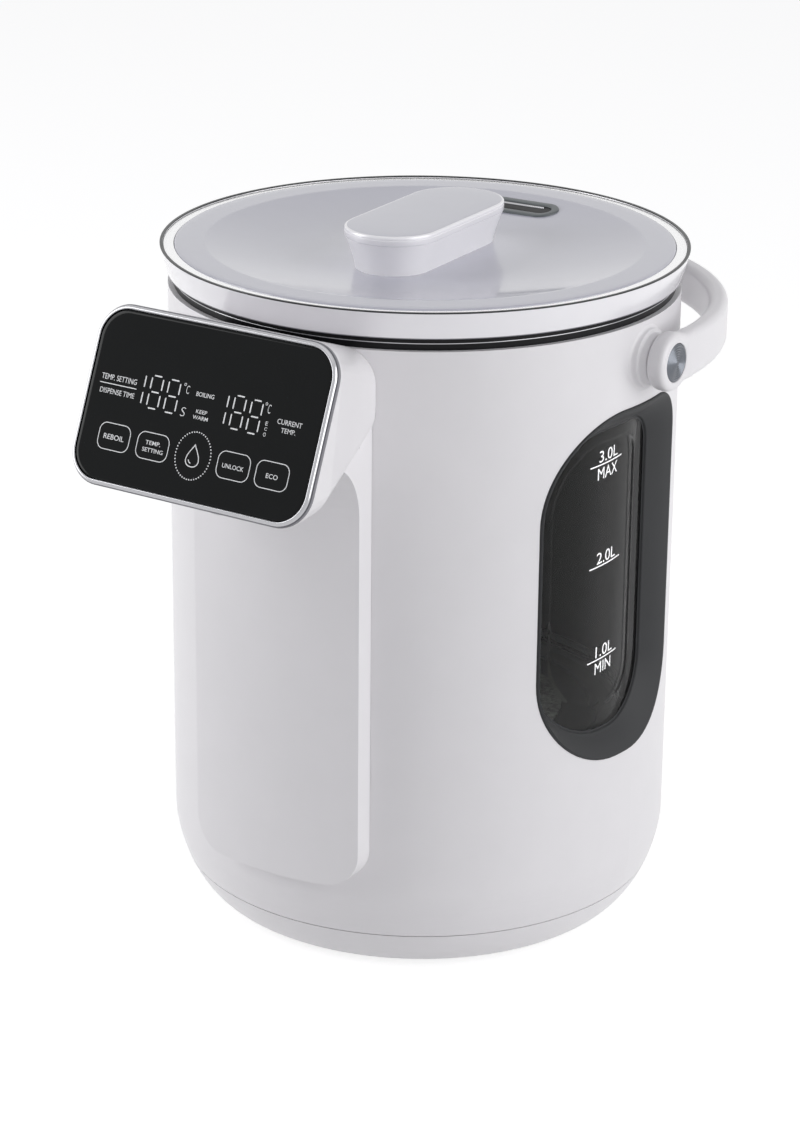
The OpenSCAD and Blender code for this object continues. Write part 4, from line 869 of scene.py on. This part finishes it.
def makeEye(s, band, side):
    # plate round the pivot: rings out of the bore over the pocket and its rim, then round the plate's outside
    t = np.linspace(0, 2 * np.pi, s["steps"], endpoint=False)
    e, n = band["edge"], s["edgeSteps"]
    cut = e * s["edgeShare"]
    plate = roundCorners(rectangle(0, e * 2, s["in"], s["out"]), [cut, s["sharp"], s["sharp"], cut], n)
    hole = roundCorners([(s["bore"], s["in"]), (s["bore"], s["pocketFloor"]), (s["pocket"], s["pocketFloor"]),
                         (s["pocket"], s["out"])], s["holeCuts"], s["holeSteps"])[:-s["holeSteps"]]
    rings = [pivotRing(x, r, t) for r, x in [*hole, *moved(s["pocketRim"], s["pocket"], s["out"])]]
    rings += [pivotRing(x, eyeOutline(t, o, s, band), t) for o, x in [*plate[-n:], *plate[:n]]]
    return atPivot(loft(np.stack(rings), True), side)


capSet = {
    "out": 118.9, "back": 116.6, "radius": 7.8, "fall": 0.35, "rings": 110, "steps": 96,
    "ripple": 0.1, "pitch": 0.96, "plain": 0.9,  # no ripple inside the plain radius
    "edge": 0.6, "edgeFall": 0.5, "edgeStart": 0.2, "edgeRings": 6, "crease": 30,
}


def makeCap(s, side):
    # domed disc with fine rings: height falls with (r / radius)^2, less a small cosine ripple
    bend = np.linspace(s["edgeStart"], np.pi / 2, s["edgeRings"])
    flat = s["radius"] - s["edge"]
    r = np.concatenate([np.linspace(0, flat, s["rings"]), flat + s["edge"] * np.sin(bend)])
    ripple = s["ripple"] * (1 - np.cos(2 * np.pi * r / s["pitch"])) * (r > s["plain"])
    dome = s["out"] - s["fall"] * (r / s["radius"]) ** 2 - ripple
    dome[s["rings"]:] = dome[s["rings"] - 1] - s["edgeFall"] * (1 - np.cos(bend))
    t = np.linspace(0, 2 * np.pi, s["steps"], endpoint=False)
    profile = [*zip(r, dome), (s["radius"], s["back"]), (0, s["back"])]
    return atPivot(loft(np.stack([pivotRing(x, p, t) for p, x in profile])), side)


bossSet = {
    "wall": 105.0, "flangeOut": 107.2, "neckOut": 110.3, "bore": 4.55, "boreCut": 0.2, "spigot": 8.0,
    "spigotIn": 98.0, "spigotBack": 1.2, "steps": 120,
    # profiles of (radius, out) points from the round wall, the flange's face and the neck's end
    "hug": ((13.6, -0.3), (13.3, 0.02), (12.75, 0.16), (12.4, 0.42), (12.15, 0.85), (12.03, 1.3)),
    "flange": ((12.0, -0.75), (11.93, -0.42), (11.7, -0.15), (11.4, -0.02), (11.1, 0.02), (10.75, 0.18),
               (10.5, 0.5), (10.4, 1.0)),
    "neck": ((10.4, -0.8), (10.3, -0.4), (10.05, -0.12), (9.7, 0)),
}


def makeBoss(s, side):
    # rings about the pivot: x is the round wall sqrt(wall^2 - y^2) plus a rise, or a fixed place further out
    t = np.linspace(0, 2 * np.pi, s["steps"], endpoint=False)
    fixed = moved(s["flange"], 0, s["flangeOut"]) + moved(s["neck"], 0, s["neckOut"])
    fixed += [(s["bore"] + s["boreCut"], s["neckOut"]), (s["bore"], s["neckOut"] - s["boreCut"]),
              (s["bore"], s["spigotIn"]), (s["spigot"], s["spigotIn"]),
              (s["spigot"], s["wall"] - s["spigotBack"])]
    rings = [pivotRing(np.sqrt(s["wall"] ** 2 - (r * np.cos(t)) ** 2) + h, r, t) for r, h in s["hug"]]
    rings += [pivotRing(x, r, t) for r, x in fixed]
    return atPivot(loft(np.stack(rings), True), side)


for side, sideName in ((1, "right"), (-1, "left")):
    cadBoss = sideName + "_pivot_boss"
    makePiece(sideName + "Boss", [makeBoss(bossSet, side)], nodes[cadBoss]["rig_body"], "white_plastic",
              [cadBoss])
makePiece("carryHandle", [makeBand(handleSet), makeEye(eyeSet, handleSet, 1), makeEye(eyeSet, handleSet, -1)],
          "handle", "white_plastic", ["carry_handle"])
for side, sideName in ((1, "right"), (-1, "left")):
    cadCap = sideName + "_pivot_cap"
    makePiece(sideName + "Cap", [makeCap(capSet, side)], nodes[cadCap]["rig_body"], "bezel_chrome", [cadCap],
              capSet["crease"], finishes["capSteel"])
print("handle made")


# ---------- window ----------

tankSet = {"inner": 87.0, "outer": 89.5, "low": 83.0, "high": 263.8, "cut": 0.5, "cutSteps": 5,
           "sideIn": 1, "sideRings": 12, "crease": 50}


def makeTank(s):
    # glass tube: a wall's rounded outline turned about the axis, with rings along both sides
    corners = rectangle(s["inner"], s["outer"], s["low"], s["high"])
    low, high = np.split(roundCorners(corners, s["cut"], s["cutSteps"]), 2)
    up = np.linspace(s["low"] + s["sideIn"], s["high"] - s["sideIn"], s["sideRings"])
    wall = np.concatenate([low, np.stack([0 * up + s["outer"], up], 1), high,
                           np.stack([0 * up + s["inner"], up[::-1]], 1)])
    makePiece("glassTank", [revolve(wall)], "pot", "clear_glass", ["inner_tank"], s["crease"])


windowSet = {
    "turn": -7,
    # towards the front, towards the back, low, high, then the radii: front corners, low and high back corners
    "outline": (42.7, 42.7, 85.9, 234.8, 41.7, 35.5, 18),
    "opening": (39.5, 26.6, 97.2, 225.4, 36.5, 25.1, 13),
    "step": (31.5, 18.0, 105.6, 221.6, 28.5, 16.5, 10),
    "back": 95.35, "proud": 105.8, "pane": 97.55, "paneBack": 95.75, "arcSteps": 18, "sideSteps": 8,
    # profiles of (outwards from an outline, up) points: frame's side, lip, pane's edge and pane's step
    "side": ((-0.15, -0.5), (-0.25, -0.18), (-0.5, -0.03), (-0.9, 0)),
    "slopeEnd": 1.7, "slopeRise": 1.25, "slopeCrown": 0.5, "slopeStart": 0.06, "slopeRings": 14,
    "lip": ((1.35, 1.05), (1.1, 0.7), (1.0, 0.2), (0.9, 0.08), (0.0, 0.06), (0.0, 0.03), (2.0, 0.08)),
    "paneEdge": ((1.85, -0.5), (1.6, -0.2), (1.2, -0.03), (0.0, 0.0)),
    "paneStep": ((0.0, 0.0), (-0.5, -0.06), (-1.0, -0.22), (-1.5, -0.36), (-1.9, -0.43), (-2.4, -0.45)),
    "paneMiddle": -5.0, "paneCentre": 0.02, "paneRings": 14, "crease": 40,
}


def windowLoop(shape, grow):
    # four corner arcs and straight sides, moved outwards by grow
    front, back, low, high, frontCorner, lowCorner, highCorner = (
        v + grow * k for v, k in zip(shape, (1, 1, -1, 1, 1, 1, 1)))
    mid = frontCorner - front
    return cornerLoop([(mid, low + frontCorner), (back - lowCorner, low + lowCorner),
                       (back - highCorner, high - highCorner), (mid, high - frontCorner)],
                      [frontCorner, lowCorner, highCorner, frontCorner],
                      windowSet["arcSteps"], windowSet["sideSteps"])


def onWall(loop, radius, turn=windowSet["turn"]):
    # point u across, z up on a cylinder about the axis: (sqrt(r^2 - u^2), u, z), turned
    a = math.radians(turn)
    u, z = loop.T
    out = np.sqrt(radius ** 2 - u ** 2)
    return np.stack([out * math.cos(a) - u * math.sin(a), out * math.sin(a) + u * math.cos(a), z], 1)


def wallRings(shape, profile, radius):
    # the shape's outline moved outwards by o, on the cylinder of radius + h, for profile points (o, h)
    return [onWall(windowLoop(shape, o), radius + h) for o, h in profile]


def makeFrame(s):
    # side, then a slope (1 - t) edge + t lip with a crown sin(pi t), then the lip and the back
    backOut, edgeOut, lipOut = s["side"][0][0], s["side"][-1][0], s["lip"][-1][0]
    edge, lip = windowLoop(s["outline"], edgeOut), windowLoop(s["opening"], s["slopeEnd"])
    rings = wallRings(s["outline"], [(backOut, 0)], s["back"])
    rings += wallRings(s["outline"], s["side"], s["proud"])
    for t in np.linspace(s["slopeStart"], 1, s["slopeRings"]):
        fall = t * (s["pane"] + s["slopeRise"] - s["proud"])
        crown = s["slopeCrown"] * np.sin(np.pi * t)
        rings.append(onWall((1 - t) * edge + t * lip, s["proud"] + fall + crown))
    rings += wallRings(s["opening"], s["lip"], s["pane"]) + wallRings(s["opening"], [(lipOut, 0)], s["back"])
    makePiece("windowFrame", [loft(np.stack(rings), True)], "pot", "dark_plastic", ["window_frame"],
              s["crease"])


def makePane(s):
    # back and front are outlines shrunk about the middle: middle + f (outline - middle)
    middle = np.array([s["paneMiddle"], (s["opening"][2] + s["opening"][3]) / 2])
    share = np.linspace(s["paneCentre"], 1, s["paneRings"])
    full = windowLoop(s["opening"], s["paneEdge"][0][0])
    stepIn, stepDepth = s["paneStep"][-1]
    near = windowLoop(s["step"], stepIn)
    rings = [onWall(middle + f * (full - middle), s["paneBack"]) for f in share]
    rings += wallRings(s["opening"], s["paneEdge"], s["pane"])
    rings += wallRings(s["step"], s["paneStep"], s["pane"])
    rings += [onWall(middle + f * (near - middle), s["pane"] + stepDepth) for f in share[-2::-1]]
    makePiece("windowPane", [loft(np.stack(rings))], "pot", "clear_glass", ["window_pane"], s["crease"],
              finishes["paneGlass"])


markSet = {
    "radius": 89.53,
    # height, start and end azimuth of the line, then the words above and below with theirs
    "rows": [(207.0, 81.2, 96.3, ("3.0L", 84.9, 93.9), ("MAX", 84.4, 93.9)),
             (163.3, 82.0, 97.0, ("2.0L", 85.1, 94.3), None),
             (122.1, 82.3, 96.8, ("1.0L", 85.9, 94.4), ("MIN", 85.7, 93.7))],
    "line": 0.55, "lineSteps": 24, "sunk": 0.02, "thick": 0.03,
    "gap": 1.0, "gapBelow": 1.3, "height": 4.9,
}


def onTank(part, radius):
    # x is the azimuth from the front in degrees, y the height, z stands out from the glass
    (x, y, z), faces = part[0].T, part[1]
    a = np.radians(x)
    return np.stack([(radius + z) * np.sin(a), -(radius + z) * np.cos(a), y], 1), faces


def makeMarks(s):
    # each mark is a bar half a line above and below its height, with a word a gap above and one below
    parts = []
    half = s["line"] / 2
    for height, start, end, above, below in s["rows"]:
        a = np.linspace(start, end, s["lineSteps"])
        bar = rectangle(-half, half, -s["sunk"], s["thick"])
        parts.append(loft(np.stack([np.stack([a, 0 * a + height + y, 0 * a + z], 1) for y, z in bar], 1)))
        word, left, right = above
        low = height + s["gap"]
        parts.append(letters(word, (left, low, right, low + s["height"])))
        if below:
            word, left, right = below
            high = height - s["gapBelow"]
            parts.append(letters(word, (left, high - s["height"], right, high)))
    makePiece("levelMarks", [onTank(part, s["radius"]) for part in parts], "pot", "light_insulator",
              material=finishes["panelPrint"])


makeTank(tankSet)
makeFrame(windowSet)
makePane(windowSet)
makeMarks(markSet)
print("tank, window and level marks made")
